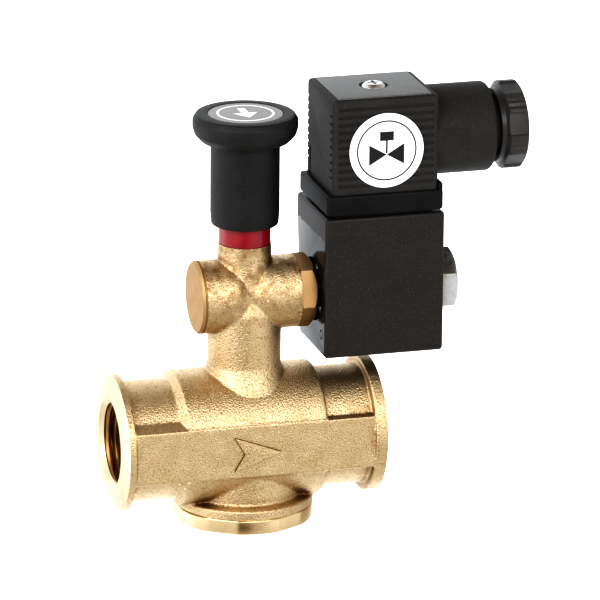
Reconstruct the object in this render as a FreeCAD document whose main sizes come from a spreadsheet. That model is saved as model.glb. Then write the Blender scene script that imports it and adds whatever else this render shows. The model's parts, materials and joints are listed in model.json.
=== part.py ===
"""Manual-reset solenoid valve, DN 15, with a brass body and a plug-on coil.

The stem axis is Z, the pipe axis is X (flow towards +X), and the origin is the centre of the
bottom plug's flat underside. Every size is in millimetres and is kept in the spreadsheet "Sizes".
"""

import FreeCAD, Part
import math
import os

import Sketcher
from FreeCAD import Placement, Rotation, Vector

SIZES = {
    # body casting
    "pipe_height": 20.5,
    "body_left": 33.0,
    "body_right": 32.1,
    "face_radius": 13.8,
    "flange_radius": 16.4,
    "flange_chamfer": 0.9,
    "inlet_flange_width": 2.7,
    "outlet_flange_width": 3.7,
    "flange_break": 0.5,
    "barrel_radius": 14.4,
    "block_radius": 16.2,
    "block_left": 17.3,
    "block_slope": 1.6,
    "block_right": 16.8,
    "pad_depth": 15.2,
    "pad_half": 6.4,
    "casting_round": 1.2,
    "skirt_radius": 14.3,
    "base_radius": 16.7,
    "base_bottom": 3.5,
    "base_top": 5.9,
    "column_radius": 8.75,
    "column_root": 39.0,
    "root_flare": 3.2,
    "root_height": 5.5,
    "boss_radius": 8.75,
    "boss_height": 55.0,
    "boss_left": 12.3,
    "boss_right": 11.8,
    "boss_relief": 0.35,
    "boss_round": 0.35,
    "boss_rim": 0.9,
    "neck_radius": 6.35,
    "neck_flare_top": 64.5,
    "neck_top": 67.9,
    "spigot_radius": 5.5,
    "spigot_top": 79.2,
    "arrow_tip": 5.1,
    "arrow_tail": 6.3,
    "arrow_notch": 3.8,
    "arrow_half": 4.45,
    "arrow_height": 20.05,
    "arrow_rise": 0.4,
    # waterways
    "thread_radius": 10.48,
    "thread_length": 14.0,
    "thread_mouth": 10.7,
    "thread_mouth_depth": 0.55,
    "port_radius": 9.3,
    "inlet_end": 9.5,
    "outlet_start": 13.4,
    "chamber_radius": 11.8,
    "chamber_bottom": 9.2,
    "chamber_top": 16.5,
    "seat_top": 19.5,
    "seat_radius": 7.0,
    "seat_lip_radius": 8.2,
    "seat_lip_bottom": 15.75,
    "upper_chamber_left": 7.4,
    "stem_bore_radius": 4.35,
    "stem_bore_top": 50.0,
    "latch_bore_radius": 4.6,
    "pin_bore_radius": 1.3,
    "fitting_thread_radius": 6.0,
    "fitting_start": 5.5,
    # bottom plug and closing spring
    "plug_radius": 16.6,
    "plug_flats": 32.4,
    "plug_thread_radius": 12.6,
    "plug_top": 9.1,
    "plug_recess_radius": 11.0,
    "plug_recess_floor": 2.0,
    "plug_dimple": 0.6,
    "plug_dimple_radius": 8.6,
    "oring_pocket_radius": 14.6,
    "oring_pocket_depth": 1.9,
    "plug_oring_ring": 13.6,
    "plug_oring_wire": 0.9,
    "plug_oring_height": 4.45,
    "closing_spring_radius": 7.4,
    "closing_spring_wire": 0.5,
    "closing_spring_foot": 1.95,
    "closing_spring_head": 11.4,
    # stem and shutter
    "stem_radius": 3.0,
    "stem_thread_radius": 2.0,
    "stem_bottom": 9.2,
    "shutter_nut_bottom": 9.7,
    "shutter_nut_flats": 7.0,
    "shutter_bottom": 12.0,
    "shutter_floor": 13.4,
    "shutter_rim_top": 14.6,
    "shutter_radius": 10.2,
    "shutter_rim_inner": 9.4,
    "seal_top": 15.7,
    "seal_washer_radius": 5.2,
    "stem_shoulder": 16.6,
    "stem_land_radius": 4.28,
    "stem_land_bottom": 35.0,
    "stem_land_top": 46.0,
    "stem_oring_height": 40.5,
    "stem_oring_wire": 0.62,
    "stem_groove_radius": 3.05,
    "stem_groove_half": 0.75,
    "collar_cone_bottom": 56.5,
    "collar_cone_top": 57.5,
    "collar_top": 58.3,
    "collar_radius": 4.2,
    "guide_bottom": 72.6,
    "guide_top": 80.0,
    "guide_bore_radius": 3.05,
    # indicator band and knob
    "band_radius": 6.15,
    "band_top": 74.0,
    "knob_bottom": 72.55,
    "knob_skirt_radius": 8.2,
    "knob_foot_round": 0.7,
    "knob_bore_radius": 6.75,
    "knob_ceiling": 86.5,
    "knob_neck": 92.0,
    "knob_bowl_radius": 10.4,
    "knob_bowl_height": 92.8,
    "knob_widest": 96.2,
    "knob_head_radius": 12.5,
    "knob_round": 1.2,
    "knob_top": 99.6,
    "label_radius": 8.9,
    "label_gap": 0.05,
    "label_floor": 98.9,
    "label_top": 99.5,
    "stem_tip_radius": 2.5,
    "stem_tip_top": 97.4,
    "knob_pocket_radius": 5.0,
    "knob_pocket_floor": 93.6,
    "knob_nut_top": 96.6,
    "knob_nut_flats": 8.0,
    # armature tube and magnetic parts
    "fitting_flats": 15.3,
    "fitting_right": 16.0,
    "fitting_foot_radius": 11.2,
    "fitting_shoulder_radius": 7.2,
    "fitting_oring_ring": 6.75,
    "fitting_oring_wire": 0.6,
    "fitting_oring_place": 11.15,
    "fitting_oring_pocket": 7.4,
    "fitting_pocket_depth": 1.3,
    "fitting_bore_start": 9.0,
    "tube_radius": 4.5,
    "tube_bore_radius": 4.1,
    "tube_start": 12.5,
    "tube_end": 46.2,
    "armature_radius": 4.0,
    "armature_start": 13.5,
    "armature_end": 30.0,
    "armature_stroke": 2.3,
    "armature_spring_bore": 2.0,
    "armature_spring_start": 22.0,
    "armature_spring_radius": 1.6,
    "armature_spring_wire": 0.3,
    "armature_spring_foot": 22.35,
    "armature_spring_head": 31.95,
    "latch_pin_radius": 1.2,
    "latch_pin_tip": 4.5,
    "latch_pin_end": 19.0,
    "core_stud_radius": 3.0,
    "core_stud_end": 51.4,
    "shading_ring_inner": 2.5,
    "shading_ring_outer": 3.3,
    "shading_ring_depth": 1.2,
    "washer_radius": 8.3,
    "washer_thickness": 0.7,
    "coil_nut_flats": 14.2,
    "coil_nut_end": 51.0,
    # coil
    "coil_left": 16.9,
    "coil_right": 46.2,
    "coil_half": 11.0,
    "coil_bottom": 40.6,
    "coil_top": 75.1,
    "coil_edge": 0.9,
    "coil_back_low": 11.2,
    "coil_back_high": 14.2,
    "coil_shoulder": 70.0,
    "coil_bore_radius": 4.58,
    "coil_eye_radius": 7.6,
    "coil_eye_depth": 1.5,
    "yoke_left": 18.6,
    "yoke_right": 44.9,
    "yoke_thickness": 1.5,
    "yoke_half": 9.0,
    "yoke_bottom": 42.8,
    "yoke_top": 66.8,
    "bobbin_radius": 5.6,
    "winding_radius": 9.7,
    "bobbin_flange": 1.0,
    "pedestal_top": 76.0,
    "pedestal_inset": 2.2,
    "blade_half": 3.15,
    "blade_half_thickness": 0.4,
    "blade_bottom": 68.0,
    "blade_top": 84.5,
    "blade_spacing": 5.5,
    "earth_offset": 7.2,
    "insert_radius": 2.4,
    "insert_bottom": 69.0,
    # connector
    "gasket_left": 16.9,
    "gasket_right": 45.4,
    "gasket_half": 12.05,
    "gasket_floor": 77.2,
    "gasket_top": 80.9,
    "gasket_edge": 0.7,
    "tab_height": 1.5,
    "tab_outer_half": 11.45,
    "tab_inner_half": 7.45,
    "blade_slot_gap": 0.15,
    "blade_grip_gap": 0.02,
    "housing_left": 18.35,
    "housing_right": 44.3,
    "housing_half": 11.25,
    "housing_top": 104.0,
    "housing_wall": 1.6,
    "housing_edge": 1.0,
    "rib_pitch": 1.87,
    "rib_groove": 0.8,
    "rib_depth": 0.35,
    "rib_back_depth": 0.55,
    "rib_first": 82.6,
    "rib_margin": 1.3,
    "notch_half": 0.45,
    "notch_length": 1.7,
    "notch_place": 1.4,
    "slit_place": 8.2,
    "slit_half": 0.25,
    "slit_depth": 1.2,
    "slit_top": 87.8,
    "nozzle_radius": 10.7,
    "nozzle_height": 92.4,
    "nozzle_end": 59.4,
    "nozzle_round": 1.2,
    "nozzle_bore": 6.3,
    "nozzle_neck_radius": 7.7,
    "nozzle_neck_end": 64.5,
    "lid_left": 19.7,
    "lid_right": 43.0,
    "lid_half": 10.2,
    "lid_floor": 103.0,
    "lid_top": 104.25,
    "lid_gap": 0.15,
    "screw_position": 31.4,
    "screw_radius": 1.45,
    "screw_bottom": 70.5,
    "screw_passage": 1.8,
    "screw_boss_radius": 3.4,
    "screw_boss_bottom": 97.0,
    "screw_recess_radius": 3.4,
    "screw_head_radius": 2.9,
    "screw_head_round": 0.8,
    "screw_head_bottom": 103.4,
    "screw_head_top": 105.0,
    "cross_half": 1.6,
    "cross_slot_half": 0.3,
    "cross_depth": 1.0,
    "block_left_end": 20.2,
    "block_right_end": 39.4,
    "contact_block_half": 9.4,
    "contact_block_top": 86.6,
    "sleeve_half": 3.6,
    "sleeve_half_thickness": 1.2,
    "sleeve_gap": 0.1,
    "sleeve_bottom": 78.2,
    "sleeve_top": 85.6,
    "clamp_screw_radius": 1.1,
    "clamp_screw_top": 88.4,
    "sticker_radius": 9.1,
    "sticker_thickness": 0.15,
    "sticker_position": 31.4,
    "sticker_height": 91.3,
    # cable gland
    "gland_nut_radius": 10.55,
    "gland_nut_start": 60.8,
    "gland_nut_shoulder": 62.9,
    "gland_nut_end": 67.3,
    "gland_nut_floor": 65.6,
    "gland_collar_radius": 8.9,
    "gland_hole_radius": 4.3,
    "gland_chamfer": 0.8,
    "cable_radius": 3.8,
    "grommet_radius": 6.25,
    "grommet_start": 59.0,
    "grommet_end": 64.8,
    "gland_washer_end": 65.55,
    "running_gap": 0.05,
    "flute_radius": 1.4,
    "flute_depth": 0.55,
    "flute_start": 62.8,
    # shared small sizes: broken edges, and how far a cutting shape runs past what it cuts
    "edge_break": 0.3,
    "nut_chamfer": 0.4,
    "spare": 1.0,
}
FLUTES = 14
RIBS = 11
PLUG_SIDES = 6
PLUG_TURN = -2.6
FITTING_TURN = -16.8
COIL_NUT_TURN = 6.0
CLOSING_TURNS = 3.5
ARMATURE_SPRING_TURNS = 6

doc = FreeCAD.newDocument("SolenoidValve")
sheet = doc.addObject("Spreadsheet::Sheet", "Sizes")
for row, (alias, size) in enumerate(SIZES.items(), start=1):
    sheet.set(f"A{row}", alias)
    sheet.set(f"B{row}", str(size))
    sheet.setAlias(f"B{row}", alias)
doc.recompute()

nodes = []


def amount(words):
    """The value of a sum of cells and numbers, such as "coil_top + 2 - coil_edge"."""
    total = 0.0
    sign = 1.0
    for word in str(words).split():
        if word in ("+", "-"):
            sign = 1.0 if word == "+" else -1.0
        else:
            total += sign * (float(sheet.get(word)) if word[0].isalpha() else float(word))
    return total


def bound(words):
    """The same sum as an expression on the sheet's cells."""
    return " ".join("Sizes." + w if w[0].isalpha() else w for w in str(words).split())


def named(obj, label):
    """Marks obj as the sub-part called label."""
    obj.Label = label
    nodes.append(obj)
    return obj


def place(obj, at, turn=None):
    """Binds obj's position to three sums, and turns it if asked."""
    obj.Placement = Placement(Vector(*[amount(a) for a in at]), turn or Rotation())
    for axis, words in zip("xyz", at):
        obj.setExpression(f"Placement.Base.{axis}", bound(words))
    return obj


ALONG_X = Rotation(Vector(0, 1, 0), 90)
FACING_FRONT = Rotation(Vector(1, 0, 0), 90)
TURNS = {"X": ALONG_X, "Y": FACING_FRONT, "Z": Rotation()}


def cylinder(radius, height, at=("0", "0", "0"), along="Z"):
    """A cylinder from at, along X, -Y or Z."""
    obj = doc.addObject("Part::Cylinder", "Cylinder")
    obj.setExpression("Radius", bound(radius))
    obj.setExpression("Height", bound(height))
    return place(obj, at, TURNS[along])


def rod(radius, start, end, along="Z", across=("0", "0")):
    """A cylinder between two stations of its own axis: across is (x, y) along Z, or (y, z) along X."""
    at = (*across, start) if along == "Z" else (start, *across)
    return cylinder(radius, f"{end} {negated(start)}", at, along)


def negated(words):
    """The sum with every sign turned round."""
    swapped = {"+": "-", "-": "+"}
    terms = str(words).split()
    first = [] if terms[0] in swapped else ["-"]
    return " ".join(first + [swapped.get(t, t) for t in terms])


def box(low, high):
    """A box between two corners, each three sums."""
    obj = doc.addObject("Part::Box", "Box")
    for side, a, b in zip(("Length", "Width", "Height"), low, high):
        obj.setExpression(side, bound(f"{b} {negated(a)}"))
    return place(obj, low)


def torus(ring, wire, at, along="Z"):
    """An O-ring."""
    obj = doc.addObject("Part::Torus", "Torus")
    obj.setExpression("Radius1", bound(ring))
    obj.setExpression("Radius2", bound(wire))
    return place(obj, at, TURNS[along])


def fuse(*parts):
    obj = doc.addObject("Part::MultiFuse", "Fuse")
    obj.Shapes = list(parts)
    obj.Refine = True
    return obj


def common(*parts):
    obj = doc.addObject("Part::MultiCommon", "Common")
    obj.Shapes = list(parts)
    return obj


def cut(base, *tools):
    """base with every tool taken away."""
    obj = doc.addObject("Part::Cut", "Cut")
    obj.Base = base
    obj.Tool = tools[0] if len(tools) == 1 else fuse(*tools)
    return obj


def rounded(base, size, above=None):
    """Rounds every edge of base, or only the edges that reach higher than above."""
    doc.recompute()
    radius = amount(size)
    lowest = -math.inf if above is None else amount(above)
    obj = doc.addObject("Part::Fillet", "Rounded")
    obj.Base = base
    edges = enumerate(base.Shape.Edges, start=1)
    obj.Edges = [(number, radius, radius) for number, edge in edges if edge.BoundBox.ZMax > lowest]
    return obj


def outline(body, points, plane):
    """A closed sketch through points, each a pair of sums, on one of body's origin planes."""
    sketch = body.newObject("Sketcher::SketchObject", "Outline")
    origin = [f for f in body.Origin.OriginFeatures if f.Role == plane][0]
    sketch.AttachmentSupport = [(origin, "")]
    sketch.MapMode = "FlatFace"
    where = [Vector(amount(a), amount(b), 0) for a, b in points]
    ends = where[1:] + where[:1]
    sketch.addGeometry([Part.LineSegment(a, b) for a, b in zip(where, ends)], False)
    count = len(points)
    for i in range(count):
        sketch.addConstraint(Sketcher.Constraint("Coincident", i, 2, (i + 1) % count, 1))
    for i, pair in enumerate(points):
        for kind, line, words in zip(("DistanceX", "DistanceY"), (-2, -1), pair):
            if amount(words) == 0:
                sketch.addConstraint(Sketcher.Constraint("PointOnObject", i, 1, line))
            else:
                number = sketch.addConstraint(Sketcher.Constraint(kind, i, 1, amount(words)))
                sketch.setExpression(f"Constraints[{number}]", bound(words))
    return sketch


def turned(profile, along="Z", at=("0", "0", "0")):
    """A lathe part: profile is (radius, station) pairs, revolved about Z or X through at."""
    body = doc.addObject("PartDesign::Body", "Turned")
    points = profile if along == "Z" else [(station, radius) for radius, station in profile]
    sketch = outline(body, points, "XZ_Plane")
    turn = body.newObject("PartDesign::Revolution", "Revolution")
    turn.Profile = sketch
    turn.ReferenceAxis = (sketch, ["V_Axis" if along == "Z" else "H_Axis"])
    turn.Angle = 360.0
    return place(body, at)


def plate(points, thickness, plane="XY_Plane", at=("0", "0", "0")):
    """An extruded outline."""
    body = doc.addObject("PartDesign::Body", "Plate")
    pad = body.newObject("PartDesign::Pad", "Pad")
    pad.Profile = outline(body, points, plane)
    pad.setExpression("Length", bound(thickness))
    return place(body, at)


def ring(inner, outer, start, end, along="Z", at=("0", "0", "0")):
    """A plain turned ring."""
    return turned([(inner, start), (outer, start), (outer, end), (inner, end)], along, at)


def polygon(sides, flats, start, end, along="Z", at=("0", "0", "0"), turn=0.0, chamfer="nut_chamfer"):
    """A prism of the given width across flats, with both ends chamfered like a nut's."""
    prism = doc.addObject("Part::Prism", "Prism")
    prism.Polygon = sides
    share = math.cos(math.pi / sides)
    prism.setExpression("Circumradius", f"({bound(flats)}) / 2 / {share:.9f}")
    prism.setExpression("Height", bound(f"{end} {negated(start)}"))
    spin = Rotation(Vector(0, 0, 1), turn)
    foot = (at[0], at[1], f"{at[2]} + {start}") if along == "Z" else (f"{at[0]} + {start}", at[1], at[2])
    place(prism, foot, TURNS[along] * spin)
    corner = amount(flats) / 2 / share
    tip = f"{corner:.4f} - edge_break"
    wide = f"{corner:.4f} + edge_break"
    low = f"{start} + {chamfer}"
    high = f"{end} - {chamfer}"
    slope = [("0", start), (tip, start), (wide, low), (wide, high), (tip, end), ("0", end)]
    return common(prism, turned(slope, along, at))


def spring(radius, wire, height, turns, at, along="Z"):
    """A round-wire compression spring whose coils start at at."""
    helix = doc.addObject("Part::Helix", "Helix")
    helix.setExpression("Radius", bound(radius))
    helix.Pitch = amount(height) / turns
    helix.Height = amount(height)
    doc.recompute()
    section = doc.addObject("Part::Circle", "WireSection")
    section.setExpression("Radius", bound(wire))
    section.Placement = Placement(Vector(amount(radius), 0, 0), FACING_FRONT)
    sweep = doc.addObject("Part::Sweep", "SpringWire")
    sweep.Sections = [section]
    sweep.Spine = (helix, [f"Edge{i}" for i in range(1, len(helix.Shape.Edges) + 1)])
    sweep.Solid = True
    sweep.Frenet = True
    return place(sweep, at, TURNS[along])


PIPE = ("0", "0", "pipe_height")
CROSS = ("0", "0", "boss_height")
GLAND = ("0", "0", "nozzle_height")
ACROSS_PIPE = ("0", "pipe_height")
ACROSS_CROSS = ("0", "boss_height")
ACROSS_GLAND = ("0", "nozzle_height")
AT_SCREW = ("screw_position", "0")


def slab(left, right, half, bottom, top):
    """A box centred on the plane y = 0."""
    return box((left, negated(half), bottom), (right, half, top))


def from_face(profile, side):
    """Turns (radius, distance in from the port's face) pairs into stations on the pipe axis."""
    if side == "inlet":
        return [(radius, f"{inward} - body_left") for radius, inward in profile]
    return [(radius, f"body_right {negated(inward)}") for radius, inward in profile]


def flange(side, width):
    """The outline of one port's flange, from its face to the barrel behind it."""
    profile = [
        ("0", "0"),
        ("face_radius", "0"),
        ("flange_radius", "flange_chamfer"),
        ("flange_radius", f"{width} - flange_break"),
        ("flange_radius - flange_break", width),
        ("barrel_radius", width),
    ]
    return from_face(profile, side)


def port_mouth(side, depth):
    """The threaded hole of one port, down to the waterway behind it."""
    profile = [
        ("0", "0"),
        ("thread_mouth", "0"),
        ("thread_radius", "thread_mouth_depth"),
        ("thread_radius", "thread_length"),
        ("port_radius", "thread_length + spare"),
        ("port_radius", depth),
        ("0", depth),
    ]
    return turned(from_face(profile, side), "X", PIPE)


def valve_body():
    """The casting: a pipe with a flange at each end, a thicker middle, a skirt below and a column above."""
    inlet_flange = flange("inlet", "inlet_flange_width")
    outlet_flange = flange("outlet", "outlet_flange_width")
    barrel = turned([*inlet_flange, *reversed(outlet_flange)], "X", PIPE)
    block = turned(
        [
            ("0", "- block_left - block_slope"),
            ("barrel_radius", "- block_left - block_slope"),
            ("block_radius", "- block_left"),
            ("block_radius", "block_right - casting_round"),
            ("block_radius - casting_round", "block_right"),
            ("0", "block_right"),
        ],
        "X",
        PIPE,
    )
    trim = slab(
        "- block_left - block_slope",
        "block_right",
        "pad_depth",
        "pipe_height - block_radius",
        "column_root",
    )
    pads = slab(
        "flange_chamfer - body_left",
        "body_right - flange_chamfer",
        "pad_depth",
        "pipe_height - pad_half",
        "pipe_height + pad_half",
    )
    skirt = turned(
        [
            ("0", "base_bottom"),
            ("base_radius - edge_break", "base_bottom"),
            ("base_radius", "base_bottom + edge_break"),
            ("base_radius", "base_top - edge_break"),
            ("base_radius - edge_break", "base_top"),
            ("skirt_radius + edge_break", "base_top + edge_break"),
            ("skirt_radius", "base_top + casting_round"),
            ("skirt_radius", "pipe_height"),
            ("0", "pipe_height"),
        ]
    )
    column = turned(
        [
            ("0", "pipe_height"),
            ("column_radius", "pipe_height"),
            ("column_radius", "boss_height"),
            ("neck_radius", "neck_flare_top"),
            ("neck_radius", "neck_top"),
            ("spigot_radius", "neck_top"),
            ("spigot_radius", "spigot_top - edge_break"),
            ("spigot_radius - edge_break", "spigot_top"),
            ("0", "spigot_top"),
        ]
    )
    root = turned(
        [
            ("0", "pipe_height"),
            ("column_radius + root_flare", "pipe_height"),
            ("column_radius + root_flare", "column_root - root_height"),
            ("column_radius", "column_root"),
            ("0", "column_root"),
        ]
    )
    bosses = turned(
        [
            ("0", "- boss_left"),
            ("boss_radius - boss_round", "- boss_left"),
            ("boss_radius", "boss_round - boss_left"),
            ("boss_radius", "boss_rim - boss_left"),
            ("boss_radius - boss_relief", "boss_rim + boss_relief - boss_left"),
            ("boss_radius - boss_relief", "0"),
            ("boss_radius", "boss_relief"),
            ("boss_radius", "boss_right - edge_break"),
            ("boss_radius - edge_break", "boss_right"),
            ("0", "boss_right"),
        ],
        "X",
        CROSS,
    )
    casting = fuse(barrel, common(block, trim), pads, skirt, column, root, bosses)

    inlet = port_mouth("inlet", "body_left - inlet_end")
    outlet = port_mouth("outlet", "body_right - outlet_start")
    lower_way = common(
        rod("port_radius", "- inlet_end - spare", "0", "X", ACROSS_PIPE),
        slab("- body_left", "0", "port_radius + spare", "0", "chamber_top"),
    )
    upper_chamber = common(
        rod("port_radius", "- upper_chamber_left", "outlet_start + spare", "X", ACROSS_PIPE),
        slab("- body_left", "body_right", "port_radius + spare", "seat_top", "column_root"),
    )
    chamber = turned(
        [
            ("0", "base_bottom - spare"),
            ("oring_pocket_radius", "base_bottom - spare"),
            ("oring_pocket_radius", "base_bottom + oring_pocket_depth"),
            ("plug_thread_radius", "base_bottom + oring_pocket_depth"),
            ("plug_thread_radius", "chamber_bottom"),
            ("chamber_radius", "chamber_bottom"),
            ("chamber_radius", "chamber_top"),
            ("seat_lip_radius", "chamber_top"),
            ("seat_radius + edge_break", "seat_lip_bottom"),
            ("seat_radius", "seat_lip_bottom"),
            ("seat_radius", "seat_top + spare"),
            ("0", "seat_top + spare"),
        ]
    )
    stem_bore = turned(
        [
            ("0", "seat_top"),
            ("stem_bore_radius", "seat_top"),
            ("stem_bore_radius", "stem_bore_top"),
            ("latch_bore_radius", "stem_bore_top"),
            ("latch_bore_radius", "spigot_top + spare"),
            ("0", "spigot_top + spare"),
        ]
    )
    fitting_bore = turned(
        [
            ("0", "0"),
            ("pin_bore_radius", "0"),
            ("pin_bore_radius", "fitting_start"),
            ("fitting_thread_radius", "fitting_start"),
            ("fitting_thread_radius", "boss_right - fitting_pocket_depth"),
            ("fitting_oring_pocket", "boss_right - fitting_pocket_depth"),
            ("fitting_oring_pocket", "boss_right + spare"),
            ("0", "boss_right + spare"),
        ],
        "X",
        CROSS,
    )
    hollows = [inlet, outlet, lower_way, upper_chamber, chamber, stem_bore, fitting_bore]
    return fuse(cut(casting, *hollows), flow_arrow())


def flow_arrow():
    """A notched arrowhead raised on the front pad, pointing the way of the flow."""
    corners = [
        ("arrow_tip", "arrow_height"),
        ("- arrow_tail", "arrow_height + arrow_half"),
        ("- arrow_notch", "arrow_height"),
        ("- arrow_tail", "arrow_height - arrow_half"),
    ]
    return plate(corners, "arrow_rise + spare", "XZ_Plane", ("0", "spare - pad_depth", "0"))


def bottom_plug():
    """A screwed-in cover with six wrench flats on its rim, hollow inside to hold the closing spring."""
    head = common(
        polygon(PLUG_SIDES, "plug_flats", "0", "base_bottom", turn=PLUG_TURN),
        rod("plug_radius", "0", "base_bottom"),
    )
    neck = rod("plug_thread_radius", "base_bottom - spare", "plug_top")
    hollow = rod("plug_recess_radius", "plug_recess_floor", "plug_top + spare")
    dimple = rod("plug_dimple_radius", "plug_recess_floor - plug_dimple", "plug_recess_floor + spare")
    return cut(fuse(head, neck), hollow, dimple)


def bottom_plug_seal():
    return torus("plug_oring_ring", "plug_oring_wire", ("0", "0", "plug_oring_height"))


def closing_spring():
    """The spring that lifts the shutter onto its seat when the latch lets go."""
    at = ("0", "0", "closing_spring_foot")
    rise = "closing_spring_head - closing_spring_foot"
    return spring("closing_spring_radius", "closing_spring_wire", rise, CLOSING_TURNS, at)


def shutter_disc():
    """The shutter: a cup that holds the rubber seal."""
    return turned(
        [
            ("stem_thread_radius", "shutter_bottom"),
            ("shutter_radius - edge_break", "shutter_bottom"),
            ("shutter_radius", "shutter_bottom + edge_break"),
            ("shutter_radius", "shutter_rim_top"),
            ("shutter_rim_inner", "shutter_rim_top"),
            ("shutter_rim_inner", "shutter_floor"),
            ("stem_thread_radius", "shutter_floor"),
        ]
    )


def shutter_seal():
    return ring("stem_thread_radius", "shutter_rim_inner", "shutter_floor", "seal_top")


def seal_washer():
    return ring("stem_thread_radius", "seal_washer_radius", "seal_top", "stem_shoulder")


def shutter_nut():
    nut = polygon(6, "shutter_nut_flats", "shutter_nut_bottom", "shutter_bottom")
    return cut(nut, rod("stem_thread_radius", "shutter_nut_bottom - spare", "shutter_bottom + spare"))


def reset_stem():
    """The stem, with its sealing land, the latch collar and a threaded tip for the knob."""
    return turned(
        [
            ("0", "stem_bottom"),
            ("stem_thread_radius - edge_break", "stem_bottom"),
            ("stem_thread_radius", "stem_bottom + edge_break"),
            ("stem_thread_radius", "stem_shoulder"),
            ("stem_radius", "stem_shoulder"),
            ("stem_radius", "stem_land_bottom"),
            ("stem_land_radius", "stem_land_bottom"),
            ("stem_land_radius", "stem_oring_height - stem_groove_half"),
            ("stem_groove_radius", "stem_oring_height - stem_groove_half"),
            ("stem_groove_radius", "stem_oring_height + stem_groove_half"),
            ("stem_land_radius", "stem_oring_height + stem_groove_half"),
            ("stem_land_radius", "stem_land_top"),
            ("stem_radius", "stem_land_top"),
            ("stem_radius", "collar_cone_bottom"),
            ("collar_radius", "collar_cone_top"),
            ("collar_radius", "collar_top"),
            ("stem_radius", "collar_top"),
            ("stem_radius", "knob_ceiling"),
            ("stem_tip_radius", "knob_ceiling"),
            ("stem_tip_radius", "stem_tip_top - edge_break"),
            ("stem_tip_radius - edge_break", "stem_tip_top"),
            ("0", "stem_tip_top"),
        ]
    )


def stem_oring():
    return torus("stem_groove_radius + stem_oring_wire", "stem_oring_wire", ("0", "0", "stem_oring_height"))


def stem_guide_bush():
    return turned(
        [
            ("guide_bore_radius", "guide_bottom"),
            ("latch_bore_radius", "guide_bottom"),
            ("latch_bore_radius", "spigot_top"),
            ("spigot_radius - edge_break", "spigot_top"),
            ("spigot_radius - edge_break", "guide_top"),
            ("guide_bore_radius", "guide_top"),
        ]
    )


def indicator_band():
    """The red sleeve that shows when the knob has sprung up."""
    return ring("spigot_radius", "band_radius", "neck_top", "band_top")


def reset_knob():
    """A mushroom knob with a long skirt that slides over the neck."""
    return turned(
        [
            ("stem_tip_radius", "knob_ceiling"),
            ("knob_bore_radius - edge_break", "knob_ceiling"),
            ("knob_bore_radius", "knob_ceiling - edge_break"),
            ("knob_bore_radius", "knob_bottom + edge_break"),
            ("knob_bore_radius + edge_break", "knob_bottom"),
            ("knob_skirt_radius - knob_foot_round", "knob_bottom"),
            ("knob_skirt_radius", "knob_bottom + knob_foot_round"),
            ("knob_skirt_radius", "knob_neck"),
            ("knob_bowl_radius", "knob_bowl_height"),
            ("knob_head_radius - knob_round", "knob_widest - knob_round"),
            ("knob_head_radius", "knob_widest"),
            ("knob_head_radius", "knob_top - knob_round"),
            ("knob_head_radius - knob_round", "knob_top"),
            ("label_radius + label_gap", "knob_top"),
            ("label_radius + label_gap", "label_floor"),
            ("knob_pocket_radius", "label_floor"),
            ("knob_pocket_radius", "knob_pocket_floor"),
            ("stem_tip_radius", "knob_pocket_floor"),
        ]
    )


def knob_nut():
    nut = polygon(6, "knob_nut_flats", "knob_pocket_floor", "knob_nut_top")
    return cut(nut, rod("stem_tip_radius", "knob_pocket_floor - spare", "knob_nut_top + spare"))


def knob_label_disc():
    return rod("label_radius", "label_floor", "label_top")


def core_tube_fitting():
    """The brass hexagon that screws the armature tube into the boss."""
    hexagon = polygon(6, "fitting_flats", "boss_right", "fitting_right", "X", CROSS, FITTING_TURN)
    dome = turned(
        [
            ("0", "boss_right"),
            ("fitting_foot_radius", "boss_right"),
            ("fitting_shoulder_radius", "fitting_right - edge_break"),
            ("fitting_shoulder_radius - edge_break", "fitting_right"),
            ("0", "fitting_right"),
        ],
        "X",
        CROSS,
    )
    spigot = rod("fitting_thread_radius", "fitting_start", "boss_right + spare", "X", ACROSS_CROSS)
    pin_bore = rod("pin_bore_radius", "fitting_start - spare", "fitting_bore_start", "X", ACROSS_CROSS)
    armature_bore = rod("tube_bore_radius", "fitting_bore_start", "tube_start", "X", ACROSS_CROSS)
    tube_seat = rod("tube_radius", "tube_start", "fitting_right + spare", "X", ACROSS_CROSS)
    return cut(fuse(common(hexagon, dome), spigot), pin_bore, armature_bore, tube_seat)


def fitting_oring():
    at = ("fitting_oring_place", "0", "boss_height")
    return torus("fitting_oring_ring", "fitting_oring_wire", at, "X")


def armature_tube():
    return ring("tube_bore_radius", "tube_radius", "tube_start", "tube_end", "X", CROSS)


def armature():
    """The moving iron core, bored for the latch pin on one side and its spring on the other."""
    core = turned(
        [
            ("0", "armature_start"),
            ("armature_radius - edge_break", "armature_start"),
            ("armature_radius", "armature_start + edge_break"),
            ("armature_radius", "armature_end - edge_break"),
            ("armature_radius - edge_break", "armature_end"),
            ("0", "armature_end"),
        ],
        "X",
        CROSS,
    )
    pin_seat = rod("latch_pin_radius", "armature_start - spare", "latch_pin_end", "X", ACROSS_CROSS)
    spring_bore = rod(
        "armature_spring_bore", "armature_spring_start", "armature_end + spare", "X", ACROSS_CROSS
    )
    return cut(core, pin_seat, spring_bore)


def latch_pin():
    """The pin on the armature that holds the stem down by its collar."""
    return turned(
        [
            ("0", "latch_pin_tip"),
            ("latch_pin_radius - edge_break", "latch_pin_tip"),
            ("latch_pin_radius", "latch_pin_tip + edge_break"),
            ("latch_pin_radius", "latch_pin_end"),
            ("0", "latch_pin_end"),
        ],
        "X",
        CROSS,
    )


def armature_spring():
    at = ("armature_spring_foot", "0", "boss_height")
    length = "armature_spring_head - armature_spring_foot"
    return spring(
        "armature_spring_radius", "armature_spring_wire", length, ARMATURE_SPRING_TURNS, at, "X"
    )


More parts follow.
